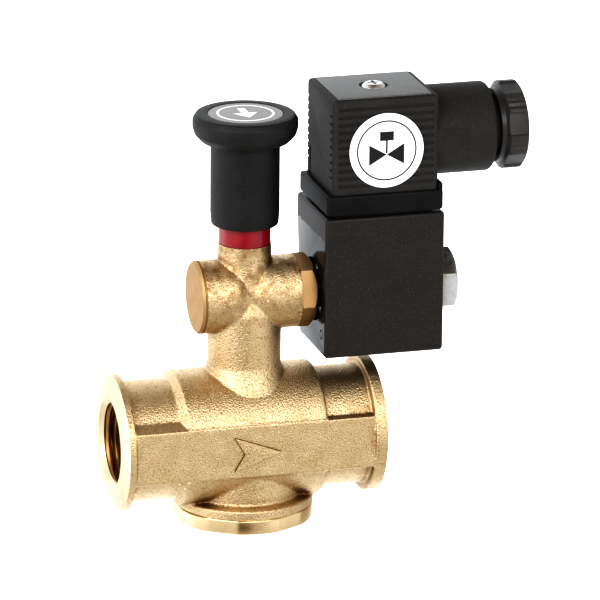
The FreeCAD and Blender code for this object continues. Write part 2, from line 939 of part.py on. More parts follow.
def fixed_core():
    """The fixed iron core that closes the tube, with a stud for the coil's nut."""
    face = "armature_end + armature_stroke"
    return turned(
        [
            ("0", face),
            ("shading_ring_inner", face),
            ("shading_ring_inner", f"{face} + shading_ring_depth"),
            ("shading_ring_outer", f"{face} + shading_ring_depth"),
            ("shading_ring_outer", face),
            ("tube_bore_radius", face),
            ("tube_bore_radius", "tube_end"),
            ("core_stud_radius", "tube_end"),
            ("core_stud_radius", "core_stud_end - edge_break"),
            ("core_stud_radius - edge_break", "core_stud_end"),
            ("0", "core_stud_end"),
        ],
        "X",
        CROSS,
    )


def shading_ring():
    face = "armature_end + armature_stroke"
    return ring(
        "shading_ring_inner", "shading_ring_outer", face, f"{face} + shading_ring_depth", "X", CROSS
    )


def yoke_frame():
    """Two iron cheeks with a bridge below them."""
    outer = slab("yoke_left", "yoke_right", "yoke_half", "yoke_bottom", "yoke_top")
    inner = slab(
        "yoke_left + yoke_thickness",
        "yoke_right - yoke_thickness",
        "yoke_half + spare",
        "yoke_bottom + yoke_thickness",
        "yoke_top + spare",
    )
    return cut(outer, inner)


def magnetic_yoke():
    tube_hole = rod("coil_bore_radius", "yoke_left - spare", "yoke_right + spare", "X", ACROSS_CROSS)
    return cut(yoke_frame(), tube_hole)


def bobbin_space():
    """The room between the yoke's cheeks for the bobbin and its winding."""
    left = "yoke_left + yoke_thickness"
    right = "yoke_right - yoke_thickness"
    return rod("winding_radius", left, right, "X", ACROSS_CROSS)


def coil_bobbin():
    left = "yoke_left + yoke_thickness"
    right = "yoke_right - yoke_thickness"
    return turned(
        [
            ("coil_bore_radius", left),
            ("winding_radius", left),
            ("winding_radius", f"{left} + bobbin_flange"),
            ("bobbin_radius", f"{left} + bobbin_flange"),
            ("bobbin_radius", f"{right} - bobbin_flange"),
            ("winding_radius", f"{right} - bobbin_flange"),
            ("winding_radius", right),
            ("coil_bore_radius", right),
        ],
        "X",
        CROSS,
    )


def coil_winding():
    start = "yoke_left + yoke_thickness + bobbin_flange"
    end = "yoke_right - yoke_thickness - bobbin_flange"
    return ring("bobbin_radius", "winding_radius", start, end, "X", CROSS)


def at_contacts(half, half_thickness, bottom, top):
    """A slab at each contact: one to either side of the screw, and the earth contact behind it."""
    slabs = [
        slab(f"{middle} {negated(half_thickness)}", f"{middle} + {half_thickness}", half, bottom, top)
        for middle in ("screw_position - blade_spacing", "screw_position + blade_spacing")
    ]
    low = (f"screw_position {negated(half)}", f"earth_offset {negated(half_thickness)}", bottom)
    high = (f"screw_position + {half}", f"earth_offset + {half_thickness}", top)
    return [*slabs, box(low, high)]


def blades(extra="0"):
    """The two supply blades and the earth blade; extra widens them to make their slots."""
    half = f"blade_half + {extra}"
    half_thickness = f"blade_half_thickness + {extra}"
    return at_contacts(half, half_thickness, "blade_bottom", "blade_top")


def coil_terminals():
    return fuse(*blades())


def coil_screw_insert():
    insert = rod("insert_radius", "insert_bottom", "pedestal_top", across=AT_SCREW)
    hole = rod("screw_radius", "insert_bottom - spare", "pedestal_top + spare", across=AT_SCREW)
    return cut(insert, hole)


def coil_housing():
    """The moulded case round the winding, with a raised seat for the connector."""
    section = [
        ("- coil_half", "coil_bottom"),
        ("coil_back_low", "coil_bottom"),
        ("coil_back_high", "coil_shoulder"),
        ("coil_back_high", "coil_top"),
        ("- coil_half", "coil_top"),
    ]
    case = rounded(
        plate(section, "coil_right - coil_left", "YZ_Plane", ("coil_left", "0", "0")),
        "coil_edge",
    )
    seat = slab(
        "coil_left + pedestal_inset",
        "gasket_right - pedestal_inset",
        "coil_half - coil_edge",
        "coil_top - spare",
        "pedestal_top",
    )
    eye = rod("coil_eye_radius", "coil_left - spare", "coil_left + coil_eye_depth", "X", ACROSS_CROSS)
    bore = rod("coil_bore_radius", "coil_left - spare", "coil_right + spare", "X", ACROSS_CROSS)
    insert = rod("insert_radius", "insert_bottom", "pedestal_top + spare", across=AT_SCREW)
    below = rod("screw_radius", "yoke_top", "insert_bottom + spare", across=AT_SCREW)
    pockets = [bobbin_space(), yoke_frame(), insert, below, *blades()]
    return cut(fuse(case, seat), eye, bore, *pockets)


def coil_washer():
    return ring(
        "core_stud_radius", "washer_radius", "coil_right", "coil_right + washer_thickness", "X", CROSS
    )


def coil_nut():
    start = "coil_right + washer_thickness"
    nut = polygon(6, "coil_nut_flats", start, "coil_nut_end", "X", CROSS, COIL_NUT_TURN)
    return cut(nut, rod("core_stud_radius", "coil_right", "coil_nut_end + spare", "X", ACROSS_CROSS))


def connector_gasket():
    """The soft tray that seals the connector to the coil."""
    tray = rounded(
        slab("gasket_left", "gasket_right", "gasket_half", "pedestal_top", "gasket_top"), "gasket_edge"
    )
    inside = slab("housing_left", "housing_right", "housing_half", "gasket_floor", "gasket_top + spare")
    screw = rod("screw_passage", "pedestal_top - spare", "gasket_floor + spare", across=AT_SCREW)
    foot = "gasket_top - tab_height"
    tip = "gasket_top + tab_height"
    outer = slab("housing_right", "gasket_right", "tab_outer_half", foot, tip)
    right = "gasket_right + spare"
    gap = slab("housing_right - spare", right, "tab_inner_half", "gasket_top", f"{tip} + spare")
    return fuse(cut(tray, inside, screw, *blades("blade_slot_gap")), cut(outer, gap))


def rib_level(number):
    """The bottom of one groove."""
    return f"rib_first + {amount('rib_pitch') * number:.3f}"


def rib_grooves():
    """Fine level grooves on the front and back walls; the back ones run out past the left corner."""
    grooves = []
    right = "housing_right - rib_margin"
    for number in range(RIBS):
        bottom = rib_level(number)
        top = f"{bottom} + rib_groove"
        front = ("housing_left + rib_margin", "- housing_half - spare", bottom)
        grooves.append(box(front, (right, "rib_depth - housing_half", top)))
        back = ("housing_left - spare", "housing_half - rib_back_depth", bottom)
        grooves.append(box(back, (right, "housing_half + spare", top)))
    return grooves


def wall_marks():
    """The grooves' pointed ends in the left wall, and the slit of its snap tongue."""
    marks = []
    for number in range(1, RIBS - 1):
        bottom = rib_level(number)
        middle = f"{bottom} + notch_half"
        corners = [
            ("notch_place - housing_half", bottom),
            ("notch_place + notch_length - housing_half", middle),
            ("notch_place - housing_half", f"{middle} + notch_half"),
        ]
        marks.append(plate(corners, "rib_depth + spare", "YZ_Plane", ("housing_left - spare", "0", "0")))
    low = ("housing_left - spare", "slit_place - slit_half", "gasket_floor - spare")
    high = ("housing_left + slit_depth", "slit_place + slit_half", "slit_top")
    return [*marks, box(low, high)]


def connector_housing():
    """The plug-on connector's hood, with the round arm that leads the cable out."""
    hood = slab("housing_left", "housing_right", "housing_half", "gasket_floor", "housing_top")
    shell = rounded(hood, "housing_edge", above="gasket_floor + spare")
    arm = turned(
        [
            ("0", "housing_right - housing_wall"),
            ("nozzle_radius", "housing_right - housing_wall"),
            ("nozzle_radius", "nozzle_end - nozzle_round"),
            ("nozzle_radius - nozzle_round", "nozzle_end"),
            ("nozzle_neck_radius", "nozzle_end"),
            ("nozzle_neck_radius", "nozzle_neck_end - edge_break"),
            ("nozzle_neck_radius - edge_break", "nozzle_neck_end"),
            ("0", "nozzle_neck_end"),
        ],
        "X",
        GLAND,
    )
    inside = slab(
        "housing_left + housing_wall",
        "housing_right - housing_wall",
        "housing_half - housing_wall",
        "gasket_floor - spare",
        "lid_floor - housing_wall",
    )
    passage = rod(
        "nozzle_bore", "housing_right - housing_wall - spare", "nozzle_neck_end + spare", "X", ACROSS_GLAND
    )
    screw_boss = rod("screw_boss_radius", "screw_boss_bottom", "lid_floor", across=AT_SCREW)
    screw_hole = rod("screw_passage", "screw_boss_bottom - spare", "housing_top + spare", across=AT_SCREW)
    hollow = cut(inside, screw_boss)
    pocket = slab("lid_left", "lid_right", "lid_half", "lid_floor", "lid_top + spare")
    return cut(fuse(shell, arm), hollow, passage, screw_hole, pocket, *rib_grooves(), *wall_marks())


def connector_lid():
    panel = rounded(
        slab("lid_left + lid_gap", "lid_right - lid_gap", "lid_half - lid_gap", "lid_floor", "lid_top"),
        "edge_break",
        above="lid_top - edge_break",
    )
    recess = rod("screw_recess_radius", "screw_head_bottom", "lid_top + spare", across=AT_SCREW)
    hole = rod("screw_passage", "lid_floor - spare", "lid_top + spare", across=AT_SCREW)
    return cut(panel, recess, hole)


def connector_screw():
    """The long cross-recessed screw that holds the connector down on the coil."""
    at = ("screw_position", "0", "0")
    screw = turned(
        [
            ("0", "screw_bottom"),
            ("screw_radius - edge_break", "screw_bottom"),
            ("screw_radius", "screw_bottom + edge_break"),
            ("screw_radius", "screw_head_bottom"),
            ("screw_head_radius", "screw_head_bottom"),
            ("screw_head_radius", "screw_head_top - screw_head_round"),
            ("screw_head_radius - screw_head_round", "screw_head_top"),
            ("0", "screw_head_top"),
        ],
        "Z",
        at,
    )
    slots = []
    for reach, side in (("cross_half", "cross_slot_half"), ("cross_slot_half", "cross_half")):
        low = (f"screw_position - {reach}", f"- {side}", "screw_head_top - cross_depth")
        high = (f"screw_position + {reach}", side, "screw_head_top + spare")
        slots.append(box(low, high))
    return cut(screw, *slots)


def contact_block():
    """The insulating block that carries the connector's contacts."""
    half = "contact_block_half"
    block = slab("block_left_end", "block_right_end", half, "gasket_floor", "contact_block_top")
    bottom = "gasket_floor - spare"
    top = "contact_block_top + spare"
    screw = rod("screw_passage", bottom, top, across=AT_SCREW)
    return cut(block, screw, *at_contacts("sleeve_half", "sleeve_half_thickness", bottom, top))


def contact_sleeves():
    """The three tinned sleeves that grip the coil's blades."""
    half = "sleeve_half - sleeve_gap"
    sleeves = at_contacts(half, "sleeve_half_thickness", "sleeve_bottom", "sleeve_top")
    return cut(fuse(*sleeves), *blades("blade_grip_gap"))


def contact_screws():
    """The clamp screws that hold the cable's wires in the sleeves."""
    places = [
        ("screw_position - blade_spacing", "0"),
        ("screw_position + blade_spacing", "0"),
        ("screw_position", "earth_offset"),
    ]
    screws = [rod("clamp_screw_radius", "sleeve_top", "clamp_screw_top", across=p) for p in places]
    return fuse(*screws)


def rating_sticker():
    """A plain round label on the front wall."""
    at = ("sticker_position", "- housing_half", "sticker_height")
    return cylinder("sticker_radius", "sticker_thickness", at, "Y")


def gland_grommet():
    """The rubber bush that seals round the cable."""
    return ring("cable_radius", "grommet_radius", "grommet_start", "grommet_end", "X", GLAND)


def gland_washer():
    return ring("gland_hole_radius", "grommet_radius", "grommet_end", "gland_washer_end", "X", GLAND)


def gland_nut():
    """The fluted nut that squeezes the grommet."""
    inside = "nozzle_neck_radius + running_gap"
    nut = turned(
        [
            (inside, "gland_nut_start"),
            ("gland_collar_radius - edge_break", "gland_nut_start"),
            ("gland_collar_radius", "gland_nut_start + edge_break"),
            ("gland_collar_radius", "gland_nut_shoulder - gland_chamfer"),
            ("gland_nut_radius", "gland_nut_shoulder"),
            ("gland_nut_radius", "gland_nut_end - gland_chamfer"),
            ("gland_nut_radius - gland_chamfer", "gland_nut_end"),
            ("gland_hole_radius", "gland_nut_end"),
            ("gland_hole_radius", "gland_nut_floor"),
            (inside, "gland_nut_floor"),
        ],
        "X",
        GLAND,
    )
    flutes = []
    reach = amount("gland_nut_radius") + amount("flute_radius") - amount("flute_depth")
    for number in range(FLUTES):
        angle = 2 * math.pi * number / FLUTES
        up = reach * math.cos(angle)
        back = reach * math.sin(angle)
        middle = (f"{back:.4f}", f"nozzle_height + {up:.4f}")
        flutes.append(rod("flute_radius", "flute_start", "gland_nut_end + spare", "X", middle))
    return cut(nut, *flutes)


for build in (
    valve_body,
    bottom_plug,
    bottom_plug_seal,
    closing_spring,
    shutter_disc,
    shutter_seal,
    seal_washer,
    shutter_nut,
    reset_stem,
    stem_oring,
    stem_guide_bush,
    indicator_band,
    reset_knob,
    knob_nut,
    knob_label_disc,
    core_tube_fitting,
    fitting_oring,
    armature_tube,
    armature,
    latch_pin,
    armature_spring,
    fixed_core,
    shading_ring,
    magnetic_yoke,
    coil_bobbin,
    coil_winding,
    coil_terminals,
    coil_screw_insert,
    coil_housing,
    coil_washer,
    coil_nut,
    connector_gasket,
    connector_housing,
    connector_lid,
    connector_screw,
    contact_block,
    contact_sleeves,
    contact_screws,
    rating_sticker,
    gland_grommet,
    gland_washer,
    gland_nut,
):
    named(build(), build.__name__)

doc.recompute()

faults = [f"{o.Name}: {o.State}" for o in doc.Objects if {"Invalid", "Error"} & set(o.State)]
faults += [f"{n.Label}: no sound solid" for n in nodes if n.Shape.isNull() or not n.Shape.isValid()]
if faults:
    raise RuntimeError("; ".join(faults))

os.makedirs("parts", exist_ok=True)
for node in nodes:
    node.Shape.exportStep(os.path.join("parts", node.Label + ".step"))
    print(f"{node.Label}: {len(node.Shape.Solids)} solid(s), {node.Shape.Volume:.1f} mm3")
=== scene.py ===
"""Looks of the manual-reset solenoid valve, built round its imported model.

Lengths are in millimetres in the model's own frame, and become metres when a mesh is made.
"""

import json
import math

import bmesh
import bpy
from mathutils import Matrix, Vector


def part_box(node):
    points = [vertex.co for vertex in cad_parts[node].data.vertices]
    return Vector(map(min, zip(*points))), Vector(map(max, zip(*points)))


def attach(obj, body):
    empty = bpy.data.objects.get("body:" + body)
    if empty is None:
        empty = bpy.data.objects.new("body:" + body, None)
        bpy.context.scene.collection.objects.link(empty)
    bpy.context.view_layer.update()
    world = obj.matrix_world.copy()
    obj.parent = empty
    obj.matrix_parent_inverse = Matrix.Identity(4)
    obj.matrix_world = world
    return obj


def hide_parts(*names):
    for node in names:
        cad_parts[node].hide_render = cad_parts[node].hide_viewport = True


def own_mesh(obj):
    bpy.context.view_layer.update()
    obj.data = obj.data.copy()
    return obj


MM = 0.001
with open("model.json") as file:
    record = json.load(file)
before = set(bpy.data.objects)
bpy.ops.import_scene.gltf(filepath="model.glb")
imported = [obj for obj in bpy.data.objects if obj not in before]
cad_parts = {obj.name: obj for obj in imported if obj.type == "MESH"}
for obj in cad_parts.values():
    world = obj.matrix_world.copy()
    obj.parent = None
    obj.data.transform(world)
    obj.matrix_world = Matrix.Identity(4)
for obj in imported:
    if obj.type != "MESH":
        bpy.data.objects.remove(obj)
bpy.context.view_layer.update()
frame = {"nodes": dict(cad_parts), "record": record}


# ---------------- places read from the frame

def extent(node):
    """A node's lowest and highest corners in millimetres."""
    low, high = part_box(node)
    return Vector(low) / MM, Vector(high) / MM


MOUNTS = {mount["name"]: mount for mount in frame["record"]["mounts"]}
JOINTS = {joint["name"]: joint for joint in frame["record"]["behaviour"]["joints"]}
PIPE = Vector(MOUNTS["inlet_thread"]["pos_m"]) / MM
PIPE_AXIS = (0.0, 0.0, PIPE.z)
CROSS_AXIS = (0.0, 0.0, JOINTS["coil_swivel"]["pos_m"][2] / MM)
GLAND_AXIS = (0.0, 0.0, JOINTS["gland_turn"]["pos_m"][2] / MM)
THREAD_RADIUS = MOUNTS["inlet_thread"]["dims"]["r_mm"]

# ---------------- mesh building

ARC_STEPS = 6
SEGMENTS = 128
THREAD_SEGMENTS = 72
ROWS_PER_TURN = 8                       # of a thread
SHARP = 32.0                            # degrees: a flatter edge is shaded smooth
VOXEL = 0.27     # how finely the casting is melted together
MELT_PASSES = 4
ORIGIN = (0.0, 0.0, 0.0)


def softened(points, closed=False):
    """The outline with its corners rounded: a point is (a, b) or (a, b, corner radius)."""
    smooth = []
    last = len(points) - 1
    for i, point in enumerate(points):
        here = Vector(point[:2])
        radius = point[2] if len(point) > 2 else 0.0
        if not radius or (not closed and i in (0, last)):
            smooth.append(here)
            continue
        before = Vector(points[i - 1][:2]) - here
        after = Vector(points[(i + 1) % len(points)][:2]) - here
        reach = radius / math.tan(before.angle(after) / 2)
        reach = min(reach, 0.49 * before.length, 0.49 * after.length)
        start = here + before.normalized() * reach
        end = here + after.normalized() * reach
        for step in range(ARC_STEPS + 1):
            t = step / ARC_STEPS
            smooth.append(start.lerp(here, t).lerp(here.lerp(end, t), t))
    return smooth


def spot(axis, centre, station, a, b):
    """The point at a station along an axis through centre, and at a and b across it."""
    across = {"X": (station, a, b), "Y": (a, station, b), "Z": (a, b, station)}[axis]
    return Vector(centre) + Vector(across)


def around(axis, centre, radius, station, angle):
    """The point at a radius and angle round an axis."""
    return spot(axis, centre, station, radius * math.cos(angle), radius * math.sin(angle))


def placed(name, data):
    """Puts an object with this data into the scene."""
    thing = bpy.data.objects.new(name, data)
    bpy.context.scene.collection.objects.link(thing)
    return thing


def meshed(name, mesh):
    """Puts a finished bmesh into the scene as it is."""
    data = bpy.data.meshes.new(name)
    mesh.to_mesh(data)
    mesh.free()
    return placed(name, data)


def as_object(name, mesh, sharp=SHARP):
    """Makes a bmesh an object: normals outward, millimetres to metres, smooth but for sharp edges."""
    bmesh.ops.recalc_face_normals(mesh, faces=mesh.faces)
    bmesh.ops.scale(mesh, vec=(MM, MM, MM), verts=mesh.verts)
    piece = meshed(name, mesh)
    smooth_shaded(piece, sharp)
    return piece


def smooth_shaded(piece, sharp=SHARP):
    piece.data.shade_smooth()
    piece.data.set_sharp_from_angle(angle=math.radians(sharp))


def skinned(mesh, rings):
    """Joins each ring of corners to the next with four-sided faces."""
    for one, other in zip(rings, rings[1:]):
        for k in range(len(one)):
            n = (k + 1) % len(one)
            mesh.faces.new((one[k], one[n], other[n], other[k]))


def turned(name, profile, axis="Z", centre=ORIGIN, closed=False):
    """A lathe part: its profile's points are (radius, station) or (radius, station, corner radius).

    A profile that isn't closed on itself is closed on the axis.
    """
    count = SEGMENTS
    if not closed:
        profile = [(0, profile[0][1]), *profile]
        if profile[-1][0]:
            profile.append((0, profile[-1][1]))
    outline = softened(profile, closed)
    mesh = bmesh.new()
    rings = []
    for radius, station in outline:
        turns = 1 if radius < 1e-6 else count
        angles = [2 * math.pi * k / count for k in range(turns)]
        rings.append([mesh.verts.new(around(axis, centre, radius, station, a)) for a in angles])
    pairs = list(zip(rings, rings[1:]))
    if closed:
        pairs.append((rings[-1], rings[0]))
    for one, other in pairs:
        for k in range(count):
            n = (k + 1) % count
            corners = [one[k % len(one)], one[n % len(one)], other[n % len(other)], other[k % len(other)]]
            corners = list(dict.fromkeys(corners))
            if len(corners) > 2:
                mesh.faces.new(corners)
    return as_object(name, mesh)


def rod(name, radius, start, end, axis="Z", centre=ORIGIN):
    """A plain cylinder."""
    return turned(name, [(radius, start), (radius, end)], axis, centre)


def tube(name, inner, outer, start, end, axis="Z", centre=ORIGIN, edges=(0, 0)):
    """A plain ring: edges are the radii of its outer corners at start and end."""
    profile = [(inner, start), (outer, start, edges[0]), (outer, end, edges[1]), (inner, end)]
    return turned(name, profile, axis, centre, closed=True)


def threaded(name, root, crest, start, end, pitch, axis, centre):
    """A rod with a rounded right-hand thread that fades out at both ends."""
    mesh = bmesh.new()
    count = THREAD_SEGMENTS
    rows = int((end - start) / pitch * ROWS_PER_TURN)
    rings = []
    for row in range(rows + 1):
        station = start + (end - start) * row / rows
        fade = min(1.0, (station - start) / pitch, (end - station) / pitch)
        ring = []
        for k in range(count):
            phase = station / pitch - k / count
            ridge = 0.5 - 0.5 * math.cos(2 * math.pi * phase)
            radius = root + (crest - root) * ridge * fade
            ring.append(mesh.verts.new(around(axis, centre, radius, station, 2 * math.pi * k / count)))
        rings.append(ring)
    skinned(mesh, rings)
    mesh.faces.new(rings[0])
    mesh.faces.new(rings[-1])
    return as_object(name, mesh, 60)


def prism(name, outline, low, high, axis="X", centre=ORIGIN):
    """An outline in the plane across axis, drawn out from low to high."""
    mesh = bmesh.new()
    caps = []
    for station in (low, high):
        ring = [mesh.verts.new(spot(axis, centre, station, a, b)) for a, b in outline]
        caps.append(ring)
        mesh.faces.new(ring)
    skinned(mesh, caps)
    return as_object(name, mesh)


def slab(name, low, high, edge=0.0):
    """A box between two corners, with its edges rounded if asked."""
    outline = [(low[0], low[1]), (high[0], low[1]), (high[0], high[1]), (low[0], high[1])]
    piece = prism(name, outline, low[2], high[2], "Z")
    if edge:
        bevelled(piece, edge, 4)
    return piece


def hexagon(flats, turn):
    """A hexagon's corner radius, and its corners turned by degrees from its first flat."""
    radius = flats / 2 / math.cos(math.pi / 6)
    angles = [math.radians(turn) + 2 * math.pi * (k + 0.5) / 6 for k in range(6)]
    return radius, [(radius * math.cos(a), radius * math.sin(a)) for a in angles]


def applied(piece):
    """Makes the piece's modifiers real."""
    graph = bpy.context.evaluated_depsgraph_get()
    result = bpy.data.meshes.new_from_object(piece.evaluated_get(graph))
    result.name = piece.name
    spare = piece.data
    piece.modifiers.clear()
    piece.data = result
    bpy.data.meshes.remove(spare)


def bevelled(piece, width, segments=2, angle=30.0):
    """Rounds every edge sharper than angle."""
    bevel = piece.modifiers.new("Edges", "BEVEL")
    bevel.width = width * MM
    bevel.segments = segments
    bevel.limit_method = "ANGLE"
    bevel.angle_limit = math.radians(angle)
    bevel.harden_normals = False
    applied(piece)
    smooth_shaded(piece, 40)
    return piece


def combined(piece, tools, operation="DIFFERENCE"):
    """Cuts the tools out of the piece, adds them to it, or keeps what they share."""
    for tool in tools:
        step = piece.modifiers.new("Combine", "BOOLEAN")
        step.operation = operation
        step.solver = "MANIFOLD"
        step.material_mode = "TRANSFER"
        step.object = tool
        applied(piece)
        bpy.data.objects.remove(tool)
    smooth_shaded(piece)


def joined(name, parts):
    """One mesh that holds several closed shells."""
    mesh = bmesh.new()
    for part in parts:
        mesh.from_mesh(part.data)
        bpy.data.objects.remove(part)
    return meshed(name, mesh)


def cast(name, parts):
    """Melts overlapping solids into one skin with soft corners, as a sand casting has."""
    piece = joined(name, parts)
    melt = piece.modifiers.new("Melt", "REMESH")
    melt.mode = "VOXEL"
    melt.voxel_size = VOXEL * MM
    soften = piece.modifiers.new("Soften", "SMOOTH")
    soften.factor = 0.5
    soften.iterations = MELT_PASSES
    applied(piece)
    piece.data.shade_smooth()
    return piece


# ---------------- materials

class Nodes:
    """Builds shader nodes in a tree."""

    def __init__(self, tree):
        self.tree = tree

    def add(self, kind, **values):
        node = self.tree.nodes.new(kind)
        for socket, value in values.items():
            node.inputs[socket].default_value = value
        return node

    def link(self, output, target):
        self.tree.links.new(output, target)

    def math(self, operation, *values):
        node = self.add("ShaderNodeMath")
        node.operation = operation
        for socket, value in zip(node.inputs, values):
            if isinstance(value, (int, float)):
                socket.default_value = value
            else:
                self.link(value, socket)
        return node.outputs[0]

    def vector(self, operation, value, fixed=ORIGIN):
        """The outputs of a vector sum between a value and a fixed vector."""
        node = self.add("ShaderNodeVectorMath")
        node.operation = operation
        node.inputs[1].default_value = fixed
        self.link(value, node.inputs[0])
        return node.outputs

    def parts(self, value):
        """The X, Y and Z of a vector."""
        node = self.add("ShaderNodeSeparateXYZ")
        self.link(value, node.inputs[0])
        return node.outputs

    def ramp(self, value, *stops):
        """Colours or greys along value: each stop is (place, colour)."""
        node = self.add("ShaderNodeValToRGB")
        elements = node.color_ramp.elements
        while len(elements) < len(stops):
            elements.new(0.5)
        for element, (place, colour) in zip(elements, stops):
            element.position = place
            grey = isinstance(colour, (int, float))
            element.color = (colour, colour, colour, 1.0) if grey else (*colour, 1.0)
        self.link(value, node.inputs["Fac"])
        return node.outputs["Color"]

    def blended(self, share, one, other):
        """The colour one where share is 0, and other where it is 1."""
        node = self.add("ShaderNodeMix")
        node.data_type = "RGBA"
        self.link(share, node.inputs["Factor"])
        for socket, colour in ((node.inputs[6], one), (node.inputs[7], other)):
            if isinstance(colour, tuple):
                socket.default_value = (*colour, 1.0)
            else:
                self.link(colour, socket)
        return node.outputs[2]


class Look(Nodes):
    """A procedural material. Its pattern sizes and depths are in millimetres."""

    def __init__(self, name, colour, metallic=0.0, roughness=0.5, **settings):
        self.material = bpy.data.materials.new(name)
        self.material.use_nodes = True
        super().__init__(self.material.node_tree)
        self.shader = self.tree.nodes["Principled BSDF"]
        self.shader.inputs["Base Color"].default_value = (*colour, 1.0)
        self.shader.inputs["Metallic"].default_value = metallic
        self.shader.inputs["Roughness"].default_value = roughness
        for socket, value in settings.items():
            self.shader.inputs[socket.replace("_", " ")].default_value = value
        self.place = self.add("ShaderNodeTexCoord").outputs["Object"]
        self.normal = None

    def noise(self, size, detail=2.0):
        """Cloudy noise whose blobs are about size across."""
        spread = self.vector("DIVIDE", self.place, (size * MM,) * 3)
        node = self.add("ShaderNodeTexNoise", Scale=1.0, Detail=detail, Roughness=0.55)
        self.link(spread[0], node.inputs["Vector"])
        return node.outputs["Fac"]

    def tool_marks(self, axis, centre, pitch):
        """Fine noise in rings round an axis, as a lathe tool leaves them."""
        across = {"X": (0, 1, 1), "Y": (1, 0, 1), "Z": (1, 1, 0)}[axis]
        shifted = self.vector("SUBTRACT", self.place, tuple(c * MM for c in centre))[0]
        reach = self.vector("LENGTH", self.vector("MULTIPLY", shifted, across)[0])["Value"]
        depth = self.math("ADD", reach, self.parts(shifted)["XYZ".index(axis)])
        ring = self.add("ShaderNodeTexNoise", Scale=1.0, Detail=3.0, Roughness=0.6)
        ring.noise_dimensions = "1D"
        self.link(self.math("DIVIDE", depth, pitch * MM), ring.inputs["W"])
        return ring.outputs["Fac"]

    def shelter(self, reach):
        """How open the surface is: 1 on open ground, and less in corners narrower than reach."""
        node = self.add("ShaderNodeAmbientOcclusion", Distance=reach * MM)
        node.only_local = True
        node.samples = 8
        return node.outputs["AO"]

    def colour(self, output):
        self.link(output, self.shader.inputs["Base Color"])

    def gloss(self, value, low, high):
        """Roughness from low to high along value."""
        self.link(self.ramp(value, (0.3, low), (0.7, high)), self.shader.inputs["Roughness"])

    def bump(self, height, depth, strength):
        """Raises the surface by depth where height is 1, on top of the bumps before."""
        node = self.add("ShaderNodeBump", Strength=strength, Distance=depth * MM)
        self.link(height, node.inputs["Height"])
        if self.normal:
            self.link(self.normal, node.inputs["Normal"])
        self.normal = node.outputs["Normal"]
        self.link(self.normal, self.shader.inputs["Normal"])


def blasted_brass():
    """Shot-blasted casting skin: gold with a fine pebble, painted glints, painted shade in its pits and
    creases, and pale edges that are partly wear and partly painted highlight.

    Brown patches of painted shade lie on the cross and the neck, which are above 46 mm.
    """
    look = Look("blasted_brass", (0.80, 0.57, 0.32), 1.0, 0.36)
    pebble = look.noise(0.40, 2.5)
    fine = look.noise(0.18, 1.0)
    patch = look.noise(5.0, 3.0)
    skin = look.ramp(patch, (0.3, (0.555, 0.43, 0.265)), (0.7, (0.64, 0.515, 0.345)))
    # painted glints: pale specks of painted highlight on the pebble
    painted_glints = look.ramp(fine, (0.60, 0.0), (0.72, 0.55))
    # painted shade in the hollows of the pebble
    painted_pit_shade = look.ramp(pebble, (0.32, 0.8), (0.44, 0.0))
    # Concave pointiness and ambient occlusion mark the creases and corners, which get brown painted shade.
    bend = look.add("ShaderNodeNewGeometry").outputs["Pointiness"]
    crease = look.ramp(bend, (0.44, 0.85), (0.475, 0.0))
    shelter = look.ramp(look.shelter(3.2), (0.40, 0.85), (0.90, 0.0))
    painted_crease_shade = look.math("MAXIMUM", crease, shelter)
    # brown patches of painted shade on the cross and the neck
    upper = look.ramp(look.parts(look.place)["Z"], (46 * MM, 0.0), (60 * MM, 1.0))
    painted_upper_shade = look.math("MULTIPLY", upper, look.ramp(look.noise(2.4, 4.0), (0.44, 0.0), (0.62, 0.75)))
    # pale convex edges: partly wear, partly painted highlight
    wear_and_painted_highlight = look.ramp(bend, (0.53, 0.0), (0.60, 0.7))
    layers = [
        (painted_glints, (1.0, 0.86, 0.62)),
        (painted_pit_shade, (0.30, 0.15, 0.05)),
        (painted_crease_shade, (0.22, 0.12, 0.04)),
        (painted_upper_shade, (0.30, 0.18, 0.08)),
        (wear_and_painted_highlight, (0.98, 0.82, 0.56)),
    ]
    for share, tint in layers:
        skin = look.blended(share, skin, tint)
    look.colour(skin)
    look.gloss(pebble, 0.44, 0.32)
    look.bump(pebble, 0.24, 0.85)
    look.bump(fine, 0.08, 0.5)
    return look.material


def turned_brass(name, axis, centre, colour=(0.66, 0.52, 0.33), roughness=0.24):
    """Bright machined brass with the rings that its tool left."""
    look = Look(name, colour, 1.0, roughness)
    rings = look.tool_marks(axis, centre, 0.16)
    stain = look.noise(3.0, 3.0)
    dull = tuple(0.92 * c for c in colour)
    look.colour(look.ramp(stain, (0.3, dull), (0.7, tuple(min(1.0, 1.06 * c) for c in colour))))
    look.gloss(rings, roughness * 0.8, roughness * 1.4)
    look.bump(rings, 0.012, 0.6)
    return look.material


def plain_metal(name, colour, roughness, axis="X", centre=CROSS_AXIS):
    """Bright metal with light tool marks and faint stains."""
    look = Look(name, colour, 1.0, roughness)
    rings = look.tool_marks(axis, centre, 0.2)
    stain = look.noise(2.2, 3.0)
    darker = tuple(0.82 * c for c in colour)
    look.colour(look.ramp(stain, (0.3, darker), (0.7, colour)))
    look.gloss(stain, roughness * 0.8, roughness * 1.3)
    look.bump(rings, 0.008, 0.5)
    return look.material


def moulded(name, dark, light, roughness, grain=0.25, depth=0.03, strength=0.4, **settings):
    """Moulded plastic or rubber: a fine grain, and a dusting of lighter specks."""
    look = Look(name, dark, 0.0, roughness, **settings)
    speck = look.noise(grain, 2.0)
    cloud = look.noise(grain * 22, 3.0)
    body = look.ramp(cloud, (0.25, dark), (0.8, light))
    dust = look.ramp(speck, (0.62, 0.0), (0.74, 0.55))
    look.colour(look.blended(dust, body, tuple(min(1.0, c * 3.2) for c in light)))
    look.gloss(speck, roughness * 0.85, min(1.0, roughness * 1.15))
    look.bump(speck, depth, strength)
    return look.material


